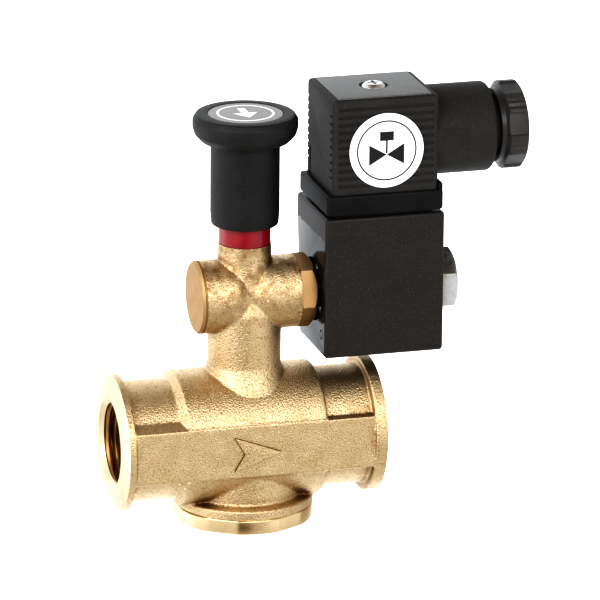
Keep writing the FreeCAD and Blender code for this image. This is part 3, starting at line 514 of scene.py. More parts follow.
def coil_resin():
    """Black moulding compound: finely grained, but polished low on the wall that faces the body."""
    look = Look("coil_resin", (0.02, 0.018, 0.017), 0.0, 0.4, Specular_IOR_Level=0.3)
    speck = look.noise(0.3, 2.0)
    cloud = look.noise(6.0, 3.0)
    body = look.ramp(cloud, (0.25, (0.020, 0.0175, 0.0155)), (0.8, (0.027, 0.024, 0.022)))
    facing = look.parts(look.add("ShaderNodeNewGeometry").outputs["Normal"])["X"]
    edge = look.math("MULTIPLY_ADD", look.noise(2.5, 3.0), 2.5 * MM, 68.2 * MM)
    below = look.math("LESS_THAN", look.parts(look.place)["Z"], edge)
    polished = look.math("MULTIPLY", look.math("LESS_THAN", facing, -0.9), below)
    dust = look.ramp(speck, (0.60, 0.0), (0.72, 0.6))
    body = look.blended(dust, body, (0.075, 0.072, 0.07))
    look.colour(look.blended(polished, body, (0.016, 0.016, 0.017)))
    look.link(look.ramp(polished, (0.0, 0.42), (1.0, 0.16)), look.shader.inputs["Roughness"])
    grain = look.math("MULTIPLY", speck, look.math("SUBTRACT", 1.0, polished))
    look.bump(grain, 0.07, 0.7)
    return look.material


def enamelled_wire():
    """Copper wire laid turn beside turn round the coil."""
    look = Look("enamelled_wire", (0.62, 0.24, 0.10), 1.0, 0.3, Coat_Weight=0.6)
    rings = look.tool_marks("X", CROSS_AXIS, 0.3)
    look.colour(look.ramp(rings, (0.35, (0.40, 0.13, 0.05)), (0.6, (0.72, 0.30, 0.13))))
    look.bump(rings, 0.08, 0.8)
    return look.material


def light_plastic():
    """Pale nylon, as bobbins are moulded from."""
    look = Look("bobbin_nylon", (0.72, 0.70, 0.62), 0.0, 0.45, Subsurface_Weight=0.08)
    look.bump(look.noise(0.3, 2.0), 0.02, 0.3)
    look.gloss(look.noise(1.4, 2.0), 0.4, 0.55)
    return look.material


def red_sleeve():
    """The glossy crimson sleeve, with faint draw lines round it."""
    look = Look("crimson_sleeve", (0.19, 0.004, 0.012), 0.0, 0.3, Coat_Weight=0.2)
    rings = look.tool_marks("Z", ORIGIN, 0.4)
    cloud = look.noise(4.0, 2.0)
    look.colour(look.ramp(cloud, (0.3, (0.17, 0.003, 0.010)), (0.7, (0.21, 0.006, 0.014))))
    look.bump(rings, 0.01, 0.3)
    return look.material


def label_film(name, colour):
    """A printed film: nearly even, with a faint fibre and satin gloss."""
    look = Look(name, colour, 0.0, 0.42)
    fibre = look.noise(0.5, 3.0)
    shade = tuple(0.95 * c for c in colour)
    look.colour(look.ramp(fibre, (0.3, shade), (0.7, colour)))
    look.gloss(fibre, 0.36, 0.5)
    look.bump(fibre, 0.008, 0.3)
    return look.material


def grey(level):
    """A grey as red, green and blue."""
    return (level, level, level)


LOOKS = {
    "cast_brass": blasted_brass(),
    "machined_brass": turned_brass("turned_brass_z", "Z", ORIGIN),
    "stainless_steel": plain_metal("stainless", (0.62, 0.60, 0.57), 0.24),
    "spring_steel": plain_metal("spring_wire", (0.42, 0.42, 0.43), 0.3, "Z", ORIGIN),
    "zinc_steel": plain_metal("zinc_plate", (0.63, 0.635, 0.64), 0.26),
    "core_iron": plain_metal("core_iron", (0.44, 0.43, 0.42), 0.35),
    "copper": enamelled_wire(),
    "tinned_brass": plain_metal("tin_plate", (0.70, 0.69, 0.66), 0.3),
    "black_rubber": moulded("nitrile", grey(0.012), grey(0.02), 0.6),
    "black_gasket": moulded(
        "gasket_rubber", grey(0.009), grey(0.013), 0.5, 0.3, Specular_IOR_Level=0.2
    ),
    "black_knob_plastic": moulded(
        "knob_plastic", grey(0.011), grey(0.017), 0.5, 0.34, 0.12, 0.9, Specular_IOR_Level=0.36
    ),
    "red_plastic": red_sleeve(),
    "grey_label": label_film("grey_film", (0.21, 0.21, 0.213)),
    "natural_plastic": light_plastic(),
    "coil_resin": coil_resin(),
    "connector_plastic": moulded(
        "connector_plastic", (0.031, 0.0295, 0.028), (0.040, 0.0385, 0.037), 0.5, 0.28, 0.06, 0.6,
        Specular_IOR_Level=0.10,
    ),
    # The lid's grey is lighter than the hood's: partly its own colour, partly painted light on its upward
    # face.
    "connector_lid_plastic": moulded("lid_plastic", grey(0.09), grey(0.115), 0.45, 0.3, 0.04, 0.5),
    "white_label": label_film("white_film", (0.76, 0.76, 0.765)),
}
MACHINED = LOOKS["machined_brass"]
PORT_BRASS = turned_brass("turned_brass_port", "X", PIPE_AXIS, (0.65, 0.535, 0.38))
# A dark copy of the turned brass: painted shade inside the ports' mouths and threads, and in the arrow's
# trench.
PAINTED_SHADE_BRASS = turned_brass("turned_brass_painted_shade", "X", PIPE_AXIS, (0.34, 0.20, 0.08), 0.4)
CROSS_BRASS = turned_brass("turned_brass_cross", "X", CROSS_AXIS, (0.43, 0.29, 0.155), 0.50)
GLAND_PLASTIC = moulded(
    "gland_plastic", (0.028, 0.026, 0.025), (0.037, 0.035, 0.034), 0.36, 0.22, 0.03, 0.4,
    Specular_IOR_Level=0.45,
)
BLACK_INK = label_film("black_ink", (0.012, 0.012, 0.013))
WHITE_INK = label_film("white_ink", (0.82, 0.80, 0.78))

for subpart in frame["record"]["subparts"]:
    node = frame["nodes"][subpart["node"]]
    for holder in node.material_slots:
        holder.material = LOOKS[subpart["material_slot"]]


def dressed(piece, material):
    """Gives the whole piece one material."""
    piece.data.materials.clear()
    piece.data.materials.append(material)
    return piece


def coated(material, *pieces):
    """The pieces, each given one material."""
    return [dressed(piece, material) for piece in pieces]


def shown(piece, body, slot, *nodes, material=None, keep=False):
    """Enters a finished piece: its body, its finish and the nodes that it stands for."""
    if not keep:
        dressed(piece, material or LOOKS[slot])
    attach(piece, body)
    if nodes:
        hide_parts(*nodes)


# ---------------- the body casting

BODY_LOW, BODY_HIGH = extent("valve_body")
INLET_FACE = BODY_LOW.x
OUTLET_FACE = BODY_HIGH.x
FLANGE_RADIUS = 16.4
FACE_RADIUS = 13.8
FLANGE_CHAMFER = 0.9
INLET_FLANGE = INLET_FACE + 2.7         # where each flange steps down to the barrel
OUTLET_FLANGE = OUTLET_FACE - 3.7
FLANGE_BREAK = 0.4
BARREL_RADIUS = 14.4
BLOCK_RADIUS = 16.2                     # the thick middle of the pipe
BLOCK_LEFT = 17.3
BLOCK_SLOPE = 1.6
BLOCK_RIGHT = 16.8
PAD_DEPTH = 15.2                        # the flat pads on the front and the back
PAD_HALF = 6.4
SKIRT_RADIUS = 14.3
BASE_BOTTOM = BODY_LOW.z
BASE_TOP = 5.9
BASE_RADIUS = BODY_HIGH.y
COLUMN_RADIUS = 8.75                    # of the column and of the cross's arms
BOSS_LEFT = 12.3
BOSS_RIGHT = 11.8
WAIST = 1.5                             # how much thinner both are where they meet
WAIST_REACH = 3.2
NECK_RADIUS = 6.35
NECK_START = 63.4
NECK_TOP = extent("indicator_band")[0].z
SPIGOT_RADIUS = 5.5
SPARE = 0.6                             # metal left on for the lathe to take off
MOUTH_RADIUS = THREAD_RADIUS - 1.15     # the thread's root
WAY_RADIUS = 9.2
INLET_WAY_END = -9.5
OUTLET_WAY_END = 13.4
THREAD_PITCH = 1.814
DISC_ROOM = 11.8
SEAT_RADIUS = 7.0
SEAT_LIP = 15.75
CHAMBER_ROOF = 16.5


def rough_casting():
    """The casting as it leaves the sand."""
    barrel = turned("barrel", [
        (FLANGE_RADIUS, INLET_FACE - SPARE), (FLANGE_RADIUS, INLET_FLANGE, FLANGE_BREAK),
        (BARREL_RADIUS, INLET_FLANGE), (BARREL_RADIUS, OUTLET_FLANGE),
        (FLANGE_RADIUS, OUTLET_FLANGE, FLANGE_BREAK), (FLANGE_RADIUS, OUTLET_FACE + SPARE),
    ], "X", PIPE_AXIS)
    block = turned("block", [
        (BARREL_RADIUS, -BLOCK_LEFT - BLOCK_SLOPE), (BLOCK_RADIUS, -BLOCK_LEFT),
        (BLOCK_RADIUS, BLOCK_RIGHT, 0.8),
    ], "X", PIPE_AXIS)
    combined(block, [slab("trim", (-40, -PAD_DEPTH, 0), (40, PAD_DEPTH, 40))], "INTERSECT")
    pads_low = (INLET_FACE + 1, -PAD_DEPTH, PIPE.z - PAD_HALF)
    pads = slab("pads", pads_low, (OUTLET_FACE - 1, PAD_DEPTH, PIPE.z + PAD_HALF))
    skirt = turned("skirt", [
        (BASE_RADIUS, BASE_BOTTOM - SPARE), (BASE_RADIUS, BASE_TOP - 0.1, 0.35),
        (SKIRT_RADIUS, BASE_TOP + 0.5, 0.2), (SKIRT_RADIUS, PIPE.z),
    ])
    column = turned("column", [
        (COLUMN_RADIUS + 2.4, PIPE.z), (COLUMN_RADIUS + 2.0, 33.2, 1.0), (COLUMN_RADIUS + 0.7, 36.0, 2.0),
        (COLUMN_RADIUS, 38.4, 3.0), (COLUMN_RADIUS, CROSS_AXIS[2] - WAIST_REACH, 3.0),
        (COLUMN_RADIUS - WAIST, CROSS_AXIS[2], 2.0), (COLUMN_RADIUS - WAIST, CROSS_AXIS[2] + 1.5, 1.0),
        (NECK_RADIUS, NECK_START, 2.0), (NECK_RADIUS, NECK_TOP + SPARE),
    ])
    bosses = turned("bosses", [
        (COLUMN_RADIUS, -BOSS_LEFT - SPARE), (COLUMN_RADIUS, -WAIST_REACH, 4.0),
        (COLUMN_RADIUS - WAIST, 0, 2.0), (COLUMN_RADIUS, WAIST_REACH, 4.0),
        (COLUMN_RADIUS, BOSS_RIGHT + SPARE),
    ], "X", CROSS_AXIS)
    webs = []
    for side in (-1, 1):
        section = [(side * 15.15, 26.8), (side * 12.0, 28.4), (side * 9.0, 24.0)]
        webs.append(prism("web", section, INLET_FLANGE, -BLOCK_LEFT, "X"))
    return cast("valve_casting", [barrel, block, pads, skirt, column, bosses, *webs])


def port_cutters(side):
    """What the lathe takes away at one port; side is -1 for the inlet and 1 for the outlet."""
    length = MOUNTS["inlet_thread"]["dims"]["length_mm"]
    face, way_end = (INLET_FACE, INLET_WAY_END) if side < 0 else (OUTLET_FACE, OUTLET_WAY_END)

    def into(depth):
        """The station at a depth inside the face."""
        return face - side * depth

    outside = turned("face_cut", [
        (FLANGE_RADIUS + 4, into(-4)),
        (FACE_RADIUS + 2 * (FLANGE_RADIUS - FACE_RADIUS), into(2 * FLANGE_CHAMFER)),
        (FACE_RADIUS, face),
    ], "X", PIPE_AXIS)
    mouth = turned("mouth_cut", [
        (MOUTH_RADIUS, into(-2)), (MOUTH_RADIUS, into(length + 1)),
        (WAY_RADIUS, into(length + 1.4)), (WAY_RADIUS, way_end),
    ], "X", PIPE_AXIS)
    start, end = sorted((into(0.6), into(length)))
    root = MOUTH_RADIUS - 0.01
    thread = threaded("thread_cut", root, THREAD_RADIUS, start, end, THREAD_PITCH, "X", PIPE_AXIS)
    countersink = turned("countersink", [
        (THREAD_RADIUS + 1.4, into(-1.3)), (MOUTH_RADIUS, into(1.3)),
    ], "X", PIPE_AXIS)
    # The mouths and threads take the dark brass, as painted shade inside the port.
    return [
        dressed(outside, PORT_BRASS), *coated(PAINTED_SHADE_BRASS, mouth, thread), dressed(countersink, PORT_BRASS)
    ]


def inner_cutters():
    """The waterways, the seat, the stem's bore and the latch's bore."""
    lower_way = slab("lower_way", (-10.5, -7.0, 12.0), (0, 7.0, 16.4))
    upper_way = slab("upper_way", (-7.4, -8.4, 19.5), (14.0, 8.4, 26.5), 1.0)
    chamber = turned("chamber", [
        (14.6, BASE_BOTTOM - 2), (14.6, BASE_BOTTOM + 1.9), (12.6, BASE_BOTTOM + 1.9), (12.6, 9.2),
        (DISC_ROOM, 9.2), (DISC_ROOM, CHAMBER_ROOF), (8.2, CHAMBER_ROOF), (7.3, SEAT_LIP),
        (SEAT_RADIUS, SEAT_LIP), (SEAT_RADIUS, 20.5),
    ])
    stem_bore = turned("stem_bore", [(4.35, 19.5), (4.35, 50.0), (4.6, 50.0), (4.6, 81.0)])
    latch_bore = turned("latch_bore", [
        (1.3, 0), (1.3, 5.5), (6.0, 5.5), (6.0, BOSS_RIGHT - 1.3), (7.4, BOSS_RIGHT - 1.3),
        (7.4, BOSS_RIGHT + 2),
    ], "X", CROSS_AXIS)
    bores = [*coated(MACHINED, chamber, stem_bore), dressed(latch_bore, CROSS_BRASS)]
    return [lower_way, upper_way, *bores]


def facing_cutters():
    """The faces that are turned flat: the base and the two ends of the cross."""
    base = turned("base_cut", [
        (BASE_RADIUS + 0.6, BASE_BOTTOM - 4), (BASE_RADIUS + 0.6, BASE_BOTTOM + 0.9),
        (BASE_RADIUS - 0.3, BASE_BOTTOM),
    ])
    left = turned("left_cut", [
        (COLUMN_RADIUS + 2, -BOSS_LEFT - 3), (COLUMN_RADIUS + 2, 1.3 - BOSS_LEFT),
        (COLUMN_RADIUS - 0.25, 1.1 - BOSS_LEFT), (COLUMN_RADIUS - 0.25, 0.8 - BOSS_LEFT),
        (COLUMN_RADIUS, 0.6 - BOSS_LEFT), (COLUMN_RADIUS - 0.5, -BOSS_LEFT, 0.3),
    ], "X", CROSS_AXIS)
    right = turned("right_cut", [
        (COLUMN_RADIUS + 2, BOSS_RIGHT + 3), (COLUMN_RADIUS + 2, BOSS_RIGHT + 1.7),
        (COLUMN_RADIUS - 0.3, BOSS_RIGHT),
    ], "X", CROSS_AXIS)
    return [dressed(base, MACHINED), *coated(CROSS_BRASS, left, right)]


ARROW_TIP = 5.0
ARROW_TAIL = -6.3
ARROW_NOTCH = -3.8
ARROW_HALF = 4.2
ARROW_RISE = 0.5
TRENCH_DEPTH = 0.16
ARROW_AXIS = (0.0, 0.0, PIPE.z - 0.45)


def flow_arrow():
    """The raised arrowhead on the front pad that points the way of the flow."""
    outline = [(ARROW_TIP, 0), (ARROW_TAIL, ARROW_HALF), (ARROW_NOTCH, 0), (ARROW_TAIL, -ARROW_HALF)]
    arrow = prism("flow_arrow", outline, -PAD_DEPTH - ARROW_RISE, 1 - PAD_DEPTH, "Y", ARROW_AXIS)
    return bevelled(arrow, 0.1, 2)


def arrow_trench():
    """The narrow trench round the foot of the arrow, lined with dark brass as painted shade."""
    outline = [
        (ARROW_TIP + 0.35, 0), (ARROW_TAIL - 0.25, ARROW_HALF + 0.2),
        (ARROW_NOTCH - 0.18, 0), (ARROW_TAIL - 0.25, -ARROW_HALF - 0.2),
    ]
    return prism("arrow_trench", outline, -PAD_DEPTH - 2, TRENCH_DEPTH - PAD_DEPTH, "Y", ARROW_AXIS)


def valve_body():
    """The casting with its arrow, its machined faces, its bores and the spigot that carries the knob."""
    casting = dressed(rough_casting(), LOOKS["cast_brass"])
    # The trench's dark brass is painted shade round the arrow's foot.
    combined(casting, [dressed(arrow_trench(), PAINTED_SHADE_BRASS)])
    combined(casting, [dressed(flow_arrow(), LOOKS["cast_brass"])], "UNION")
    spigot = turned("spigot", [(SPIGOT_RADIUS, NECK_TOP - 2), (SPIGOT_RADIUS, BODY_HIGH.z, 0.5)])
    shoulder = rod("shoulder", NECK_RADIUS + 3, NECK_TOP, NECK_TOP + 4)
    combined(casting, [dressed(shoulder, MACHINED)])
    combined(casting, [dressed(spigot, MACHINED)], "UNION")
    combined(casting, port_cutters(-1) + port_cutters(1) + inner_cutters() + facing_cutters())
    smooth_shaded(casting, 35)
    shown(casting, "valve", "cast_brass", "valve_body", keep=True)


valve_body()

# ---------------- plug, knob and band

PLUG_FLOOR = 2.0                        # where the closing spring stands


def bottom_plug():
    """The screwed cover: six flats on a round rim, and a hollow neck inside the body."""
    neck, hollow, socket = 12.5, 11.0, 8.6
    neck_top = extent("bottom_plug")[1].z
    head = prism("plug", rim_points(16.6, 32.4 / 2, math.radians(-2.6)), 0, BASE_BOTTOM, "Z")
    bevelled(head, 0.35, 3)
    combined(head, [turned("plug_neck", [(neck, 1), (neck, neck_top, 0.4)])], "UNION")
    inside = turned("plug_hollow", [
        (socket, PLUG_FLOOR - 0.6), (socket, PLUG_FLOOR), (hollow, PLUG_FLOOR), (hollow, neck_top + 1),
    ])
    combined(head, [inside])
    shown(head, "valve", "machined_brass", "bottom_plug")


def rim_points(radius, flat, turn):
    """Corners round a rim that has six flats, each flat away from its axis, the first one turned."""
    count = 180
    step = math.pi / 6
    points = []
    for k in range(count):
        angle = 2 * math.pi * k / count
        off = (angle - turn + step) % (2 * step) - step
        share = min(1.0, flat / (radius * math.cos(off)))
        points.append((radius * math.cos(angle) * share, radius * math.sin(angle) * share))
    return points


def reset_knob():
    """The mushroom knob: a long skirt under a domed head with a recess for its label."""
    low, high = extent("reset_knob")
    head, skirt, bore, stem_hole, dish = high.x, 8.2, 6.75, 2.55, 5.0       # radii
    ceiling, neck, dish_floor = 86.5, 92.6, 93.6                            # heights
    label = extent("knob_label_disc")
    pocket = label[0].z
    knob = turned("knob", [
        (stem_hole, ceiling), (bore, ceiling, 0.6), (bore, low.z, 0.25), (skirt - 0.25, low.z, 0.9),
        (skirt, low.z + 3.0, 2.0), (skirt, neck, 0.25), (skirt + 2.3, neck + 0.5, 1.0),
        (head - 0.5, neck + 2.1, 1.8), (head, neck + 3.8, 2.0), (head, high.z - 1.4, 1.0),
        (head - 0.8, high.z - 0.12, 0.8), (head - 1.9, high.z, 0.4), (label[1].x + 0.1, high.z, 0.12),
        (label[1].x + 0.1, pocket), (dish, pocket), (dish, dish_floor), (stem_hole, dish_floor),
    ], closed=True)
    shown(knob, "reset", "black_knob_plastic", "reset_knob")
    rim = label[1].x
    disc = turned("label_disc", [(rim, pocket, 0.05), (rim, label[1].z, 0.12)])
    shown(disc, "reset", "grey_label", "knob_label_disc")
    sunk, raised = label[1].z - 0.1, label[1].z + 0.03
    marks = [
        tube("ring", 6.3, 6.9, sunk, raised),
        prism("shaft", [(-0.9, 4.2), (-0.9, 0.2), (0.9, 0.2), (0.9, 4.2)], sunk, raised, "Z"),
        prism("head", [(0, -3.9), (3.0, 0.2), (-3.0, 0.2)], sunk, raised, "Z"),
    ]
    shown(joined("press_mark", marks), "reset", "white_label", material=WHITE_INK)


def indicator_band():
    """The red sleeve that the knob's skirt hides when it is pressed."""
    low, high = extent("indicator_band")
    band = tube("band", SPIGOT_RADIUS + 0.01, high.x, low.z, high.z, edges=(0.15, 0.3))
    shown(band, "valve", "red_plastic", "indicator_band")


bottom_plug()
reset_knob()
indicator_band()

# ---------------- tube fitting, coil and nut

YOKE_PLATE = 1.5


def nut(name, flats, start, end, turn, bore, dome):
    """A nut on the cross's axis: dome is how far its two ends fall away at the corners."""
    corner, outline = hexagon(flats, turn)
    body = prism(name, outline, start, end, "X", CROSS_AXIS)
    lathe = turned("dome", [
        (flats / 2 - 0.1, start), (corner + 0.3, start + dome[0]), (corner + 0.3, end - dome[1]),
        (flats / 2 - 0.1, end),
    ], "X", CROSS_AXIS)
    combined(body, [lathe], "INTERSECT")
    combined(body, [rod("bore", bore, start - 1, end + 1, "X", CROSS_AXIS)])
    bevelled(body, 0.09, 2)
    return body


def tube_fitting():
    """The core tube's hexagon with the spigot that screws into the cross."""
    low, high = extent("core_tube_fitting")
    body = nut("tube_fitting", 15.3, BOSS_RIGHT, high.x, turn=-16.8, bore=4.5, dome=(0.5, 1.15))
    spigot = tube("fitting_spigot", 4.4, 6.0, low.x, BOSS_RIGHT + 0.3, "X", CROSS_AXIS, (0.3, 0))
    combined(body, [spigot], "UNION")
    shown(body, "valve", "machined_brass", "core_tube_fitting", material=CROSS_BRASS)


def coil_nut():
    """The nut that holds the coil on its tube, and its washer."""
    low, high = extent("coil_nut")
    body = nut("coil_lock_nut", 14.2, low.x, high.x, turn=6.0, bore=3.0, dome=(0.2, 1.0))
    shown(body, "valve", "zinc_steel", "coil_nut")
    low, high = extent("coil_washer")
    washer = tube("lock_washer", 3.0, high.y, low.x, high.x, "X", CROSS_AXIS, (0.15, 0.15))
    shown(washer, "valve", "zinc_steel", "coil_washer")


def coil_case():
    """The moulded coil: rounded block, leaning back, with an eye round the tube and a seat on top."""
    low, high = extent("coil_housing")
    top = 75.1
    shoulder = 70.0
    back_low = 11.2
    section = [(low.y, low.z), (back_low, low.z), (high.y, shoulder), (high.y, top), (low.y, top)]
    case = prism("coil_case", section, low.x, high.x, "X")
    bevelled(case, 0.9, 5, 5.0)
    inset = 2.2
    right = extent("connector_gasket")[1].x - inset
    seat = slab("seat", (low.x + inset, low.y + 1.2, top - 2), (right, -low.y - 1.2, high.z))
    combined(case, [seat], "UNION")
    eye = turned("eye", [(8.6, low.x - 1), (7.6, low.x + 0.1), (7.5, low.x + 1.5)], "X", CROSS_AXIS)
    bore = rod("bore", 4.58, low.x - 1, high.x + 1, "X", CROSS_AXIS)
    winding_radius = extent("coil_winding")[1].y
    yoke_low, yoke_high = extent("magnetic_yoke")
    frame_room = slab("yoke_room", yoke_low, yoke_high)
    fill_low = yoke_low + Vector((YOKE_PLATE, -1, YOKE_PLATE))
    fill_high = yoke_high + Vector((-YOKE_PLATE, 1, 1))
    combined(frame_room, [slab("yoke_fill", fill_low, fill_high)])
    room = rod("winding_room", winding_radius, fill_low.x, fill_high.x, "X", CROSS_AXIS)
    insert_low, insert_high = extent("coil_screw_insert")
    insert_at = ((insert_low.x + insert_high.x) / 2, 0, 0)
    insert = rod("insert_room", 2.4, insert_low.z, insert_high.z + 1, centre=insert_at)
    mark = tube("mark", 0.85, 1.2, low.x - 1, low.x + 0.18, "X", (0, low.y + 3.4, low.z + 5.2))
    combined(case, [eye, bore, room, frame_room, insert, mark])
    smooth_shaded(case, 25)
    shown(case, "coil", "coil_resin", "coil_housing")


def spring(name, node, wire, turns, axis, centre):
    """A round wire spring between two bodies, wound along its node's length.

    wire is the wire's radius.
    """
    low, high = extent(node)
    radius = high.y - wire
    along = "XYZ".index(axis)
    start, end = low[along] + wire, high[along] - wire
    per_turn, corners = 28, 8
    mesh = bmesh.new()
    rings = []
    for step in range(int(turns * per_turn) + 1):
        angle = 2 * math.pi * step / per_turn
        station = start + (end - start) * step / (turns * per_turn)
        ring = []
        for k in range(corners):
            b = 2 * math.pi * k / corners
            reach = radius + wire * math.cos(b)
            ring.append(mesh.verts.new(around(axis, centre, reach, station + wire * math.sin(b), angle)))
        rings.append(ring)
    skinned(mesh, rings)
    mesh.faces.new(rings[0])
    mesh.faces.new(rings[-1])
    coil = as_object(name, mesh, 60)
    shown(coil, "valve", "spring_steel", node)
    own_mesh(coil)


tube_fitting()
coil_nut()
coil_case()
spring("closing_coil", "closing_spring", 0.5, 3.5, "Z", ORIGIN)
spring("armature_coil", "armature_spring", 0.3, 6, "X", CROSS_AXIS)

# ---------------- connector

HOOD_LEFT = 18.35
HOOD_RIGHT = 44.3
SCREW_LOW, SCREW_HIGH = extent("connector_screw")
SCREW_AXIS = ((SCREW_LOW.x + SCREW_HIGH.x) / 2, 0, 0)
SCREW_HOLE = 1.8


def gasket():
    """The soft tray under the connector, with two tabs at its outlet end."""
    low, high = extent("connector_gasket")
    rim = 80.9
    floor = extent("connector_housing")[0].z
    wall = extent("coil_housing")[0].x + 1.45
    right = HOOD_RIGHT
    half = 11.25
    tray = slab("seal_tray", (low.x, low.y, low.z), (high.x, high.y, rim), 0.7)
    room = slab("room", (wall, -half, floor), (right, half, rim + 1))
    tabs = slab("tabs", (right, 0.6 + low.y, rim - 1.5), (high.x, high.y - 0.6, high.z), 0.3)
    gap = slab("gap", (right - 1, 4.6 + low.y, rim), (high.x + 1, high.y - 4.6, high.z + 1))
    combined(tabs, [gap])
    combined(tray, [room])
    combined(tray, [tabs], "UNION")
    combined(tray, [rod("passage", SCREW_HOLE, low.z - 1, floor + 1, centre=SCREW_AXIS)])
    smooth_shaded(tray, 25)
    shown(tray, "coil", "black_gasket", "connector_gasket")


RIB_PITCH = 1.87
RIB_FIRST = 82.6
RIB_COUNT = 11
RIB_GROOVE = 0.8
RIB_DEPTH = 0.35


def rib_level(number):
    """The height of a groove's middle."""
    return RIB_FIRST + RIB_PITCH * number + RIB_GROOVE / 2


def rib_cutters(left, right, half):
    """Shallow level grooves: the front's stop short of its corners, and the back's run past one."""
    tools = []
    for number in range(RIB_COUNT):
        level = rib_level(number)
        for sign, start, end in ((-1, left + 1.3, right - 1.3), (1, left - 1, right - 1.3)):
            out = sign * (half + 1)
            deep = sign * (half - (RIB_DEPTH if sign < 0 else 0.55))
            wide, narrow = RIB_GROOVE / 2 + 0.3, RIB_GROOVE * 0.36
            section = [
                (out, level - wide), (deep, level - narrow), (deep, level + narrow), (out, level + wide)
            ]
            tools.append(prism("rib", section, start, end, "X"))
    return tools


def wall_cutters(left, half):
    """Cuts in the hood's left wall: the grooves' pointed front ends, the teeth on its back corner
    and the slit beside its snap tongue."""
    tools = []
    for number in range(1, RIB_COUNT - 1):
        level = rib_level(number)
        corners = [(1.4 - half, level - 0.45), (3.1 - half, level), (1.4 - half, level + 0.45)]
        tools.append(prism("notch", corners, left - 1, left + RIB_DEPTH, "X"))
        near, far = (left - 1, half - 1.9, level - 0.38), (left + 0.42, half + 1, level + 0.38)
        tools.append(slab("tooth", near, far))
    tools.append(slab("slit", (left - 1, 7.75, 76.0), (left + 1.2, 8.6, 87.8)))
    return tools


def connector():
    """The hood with its ribbed walls, the lid let into its top, and the round arm for the cable."""
    low, high = extent("connector_housing")
    left, right = HOOD_LEFT, HOOD_RIGHT
    half = high.y
    lid_low, lid_high = extent("connector_lid")
    hood = slab("connector_hood", (left, -half, low.z), (right, half, high.z), 1.0)
    foot = slab("foot", (left, -half, low.z), (right, half, low.z + 3))
    combined(hood, [foot], "UNION")
    arm = turned("arm", [
        (10.7, right - 3), (10.7, 59.4, 1.3), (7.75, 59.4, 0.25), (7.75, 59.9, 0.1), (7.4, 60.3, 0.1),
        (7.4, high.x - 0.2), (7.0, high.x),
    ], "X", GLAND_AXIS)
    combined(hood, [arm], "UNION")
    wall = 1.6
    roof = lid_low.z - wall
    inside = slab("inside", (left + wall, wall - half, low.z - 1), (right - wall, half - wall, roof))
    combined(inside, [rod("post", 3.4, 97, lid_low.z + 1, centre=SCREW_AXIS)])
    passage = rod("passage", 6.3, right - 5, high.x + 1, "X", GLAND_AXIS)
    hole = rod("hole", SCREW_HOLE, 95, high.z + 1, centre=SCREW_AXIS)
    gap = 0.18
    pocket = slab(
        "pocket", (lid_low.x - gap, lid_low.y - gap, lid_low.z), (lid_high.x + gap, lid_high.y + gap, 106)
    )
    grooves = rib_cutters(left, right, half) + wall_cutters(left, half)
    combined(hood, [inside, passage, hole, pocket, *grooves])
    bevelled(hood, 0.07, 1, 40)
    shown(hood, "coil", "connector_plastic", "connector_housing")

    lid = slab("connector_cover", lid_low, lid_high, 0.28)
    recess = turned("recess", [(3.35, lid_high.z - 0.9), (3.5, lid_high.z + 0.2)], centre=SCREW_AXIS)
    combined(lid, [recess, rod("hole", SCREW_HOLE, 100, 106, centre=SCREW_AXIS)])
    shown(lid, "coil", "connector_lid_plastic", "connector_lid")

    screw = turned("cover_screw", [
        (1.45, SCREW_LOW.z, 0.3), (1.45, 103.4), (2.9, 103.4, 0.15), (2.9, 104.0, 0.5),
        (2.1, 104.85, 0.8), (0, SCREW_HIGH.z),
    ], centre=SCREW_AXIS)
    combined(screw, cross_recess())
    bevelled(screw, 0.05, 1, 40)
    shown(screw, "coil", "zinc_steel", "connector_screw")


def cross_recess():
    """The two tapered slots in the head of the cover's screw."""
    top = SCREW_HIGH.z
    tools = []
    length, width = 1.75, 0.42
    for across in (False, True):
        mesh = bmesh.new()
        deep = []
        for level, share in ((top - 1.1, 0.42), (top + 0.5, 1.12)):
            a, b = length * share, width * (0.6 + 0.4 * share)
            if across:
                a, b = b, a
            ring = [(a, b), (-a, b), (-a, -b), (a, -b)]
            deep.append([mesh.verts.new((SCREW_AXIS[0] + x, y, level)) for x, y in ring])
        for ring in deep:
            mesh.faces.new(ring)
        skinned(mesh, deep)
        tools.append(as_object("slot", mesh))
    return tools


def sticker():
    """A plain round label with a ring and the general sign of a valve."""
    low, high = extent("rating_sticker")
    middle = ((low.x + high.x) / 2, 0, (low.z + high.z) / 2)
    radius = (high.x - low.x) / 2
    disc = turned("round_label", [(radius, high.y), (radius, low.y, 0.06)], "Y", middle)
    shown(disc, "coil", "white_label", "rating_sticker")
    face, back = low.y - 0.02, low.y + 0.05
    outlines = [
        [(-4.3, -3.5), (-4.3, 1.5), (-0.02, -1)],                       # the bow tie's two halves
        [(4.3, -3.5), (0.02, -1), (4.3, 1.5)],
        [(-0.22, -0.7), (0.22, -0.7), (0.22, 2.4), (-0.22, 2.4)],       # the stem
        [(-1.7, 2.4), (1.7, 2.4), (1.7, 4.6), (-1.7, 4.6)],             # the actuator
    ]
    ring = tube("ring", 7.0, 7.35, back, face, "Y", middle)
    strokes = [prism("stroke", outline, back, face, "Y", middle) for outline in outlines]
    shown(joined("valve_sign", [ring, *strokes]), "coil", "white_label", material=BLACK_INK)


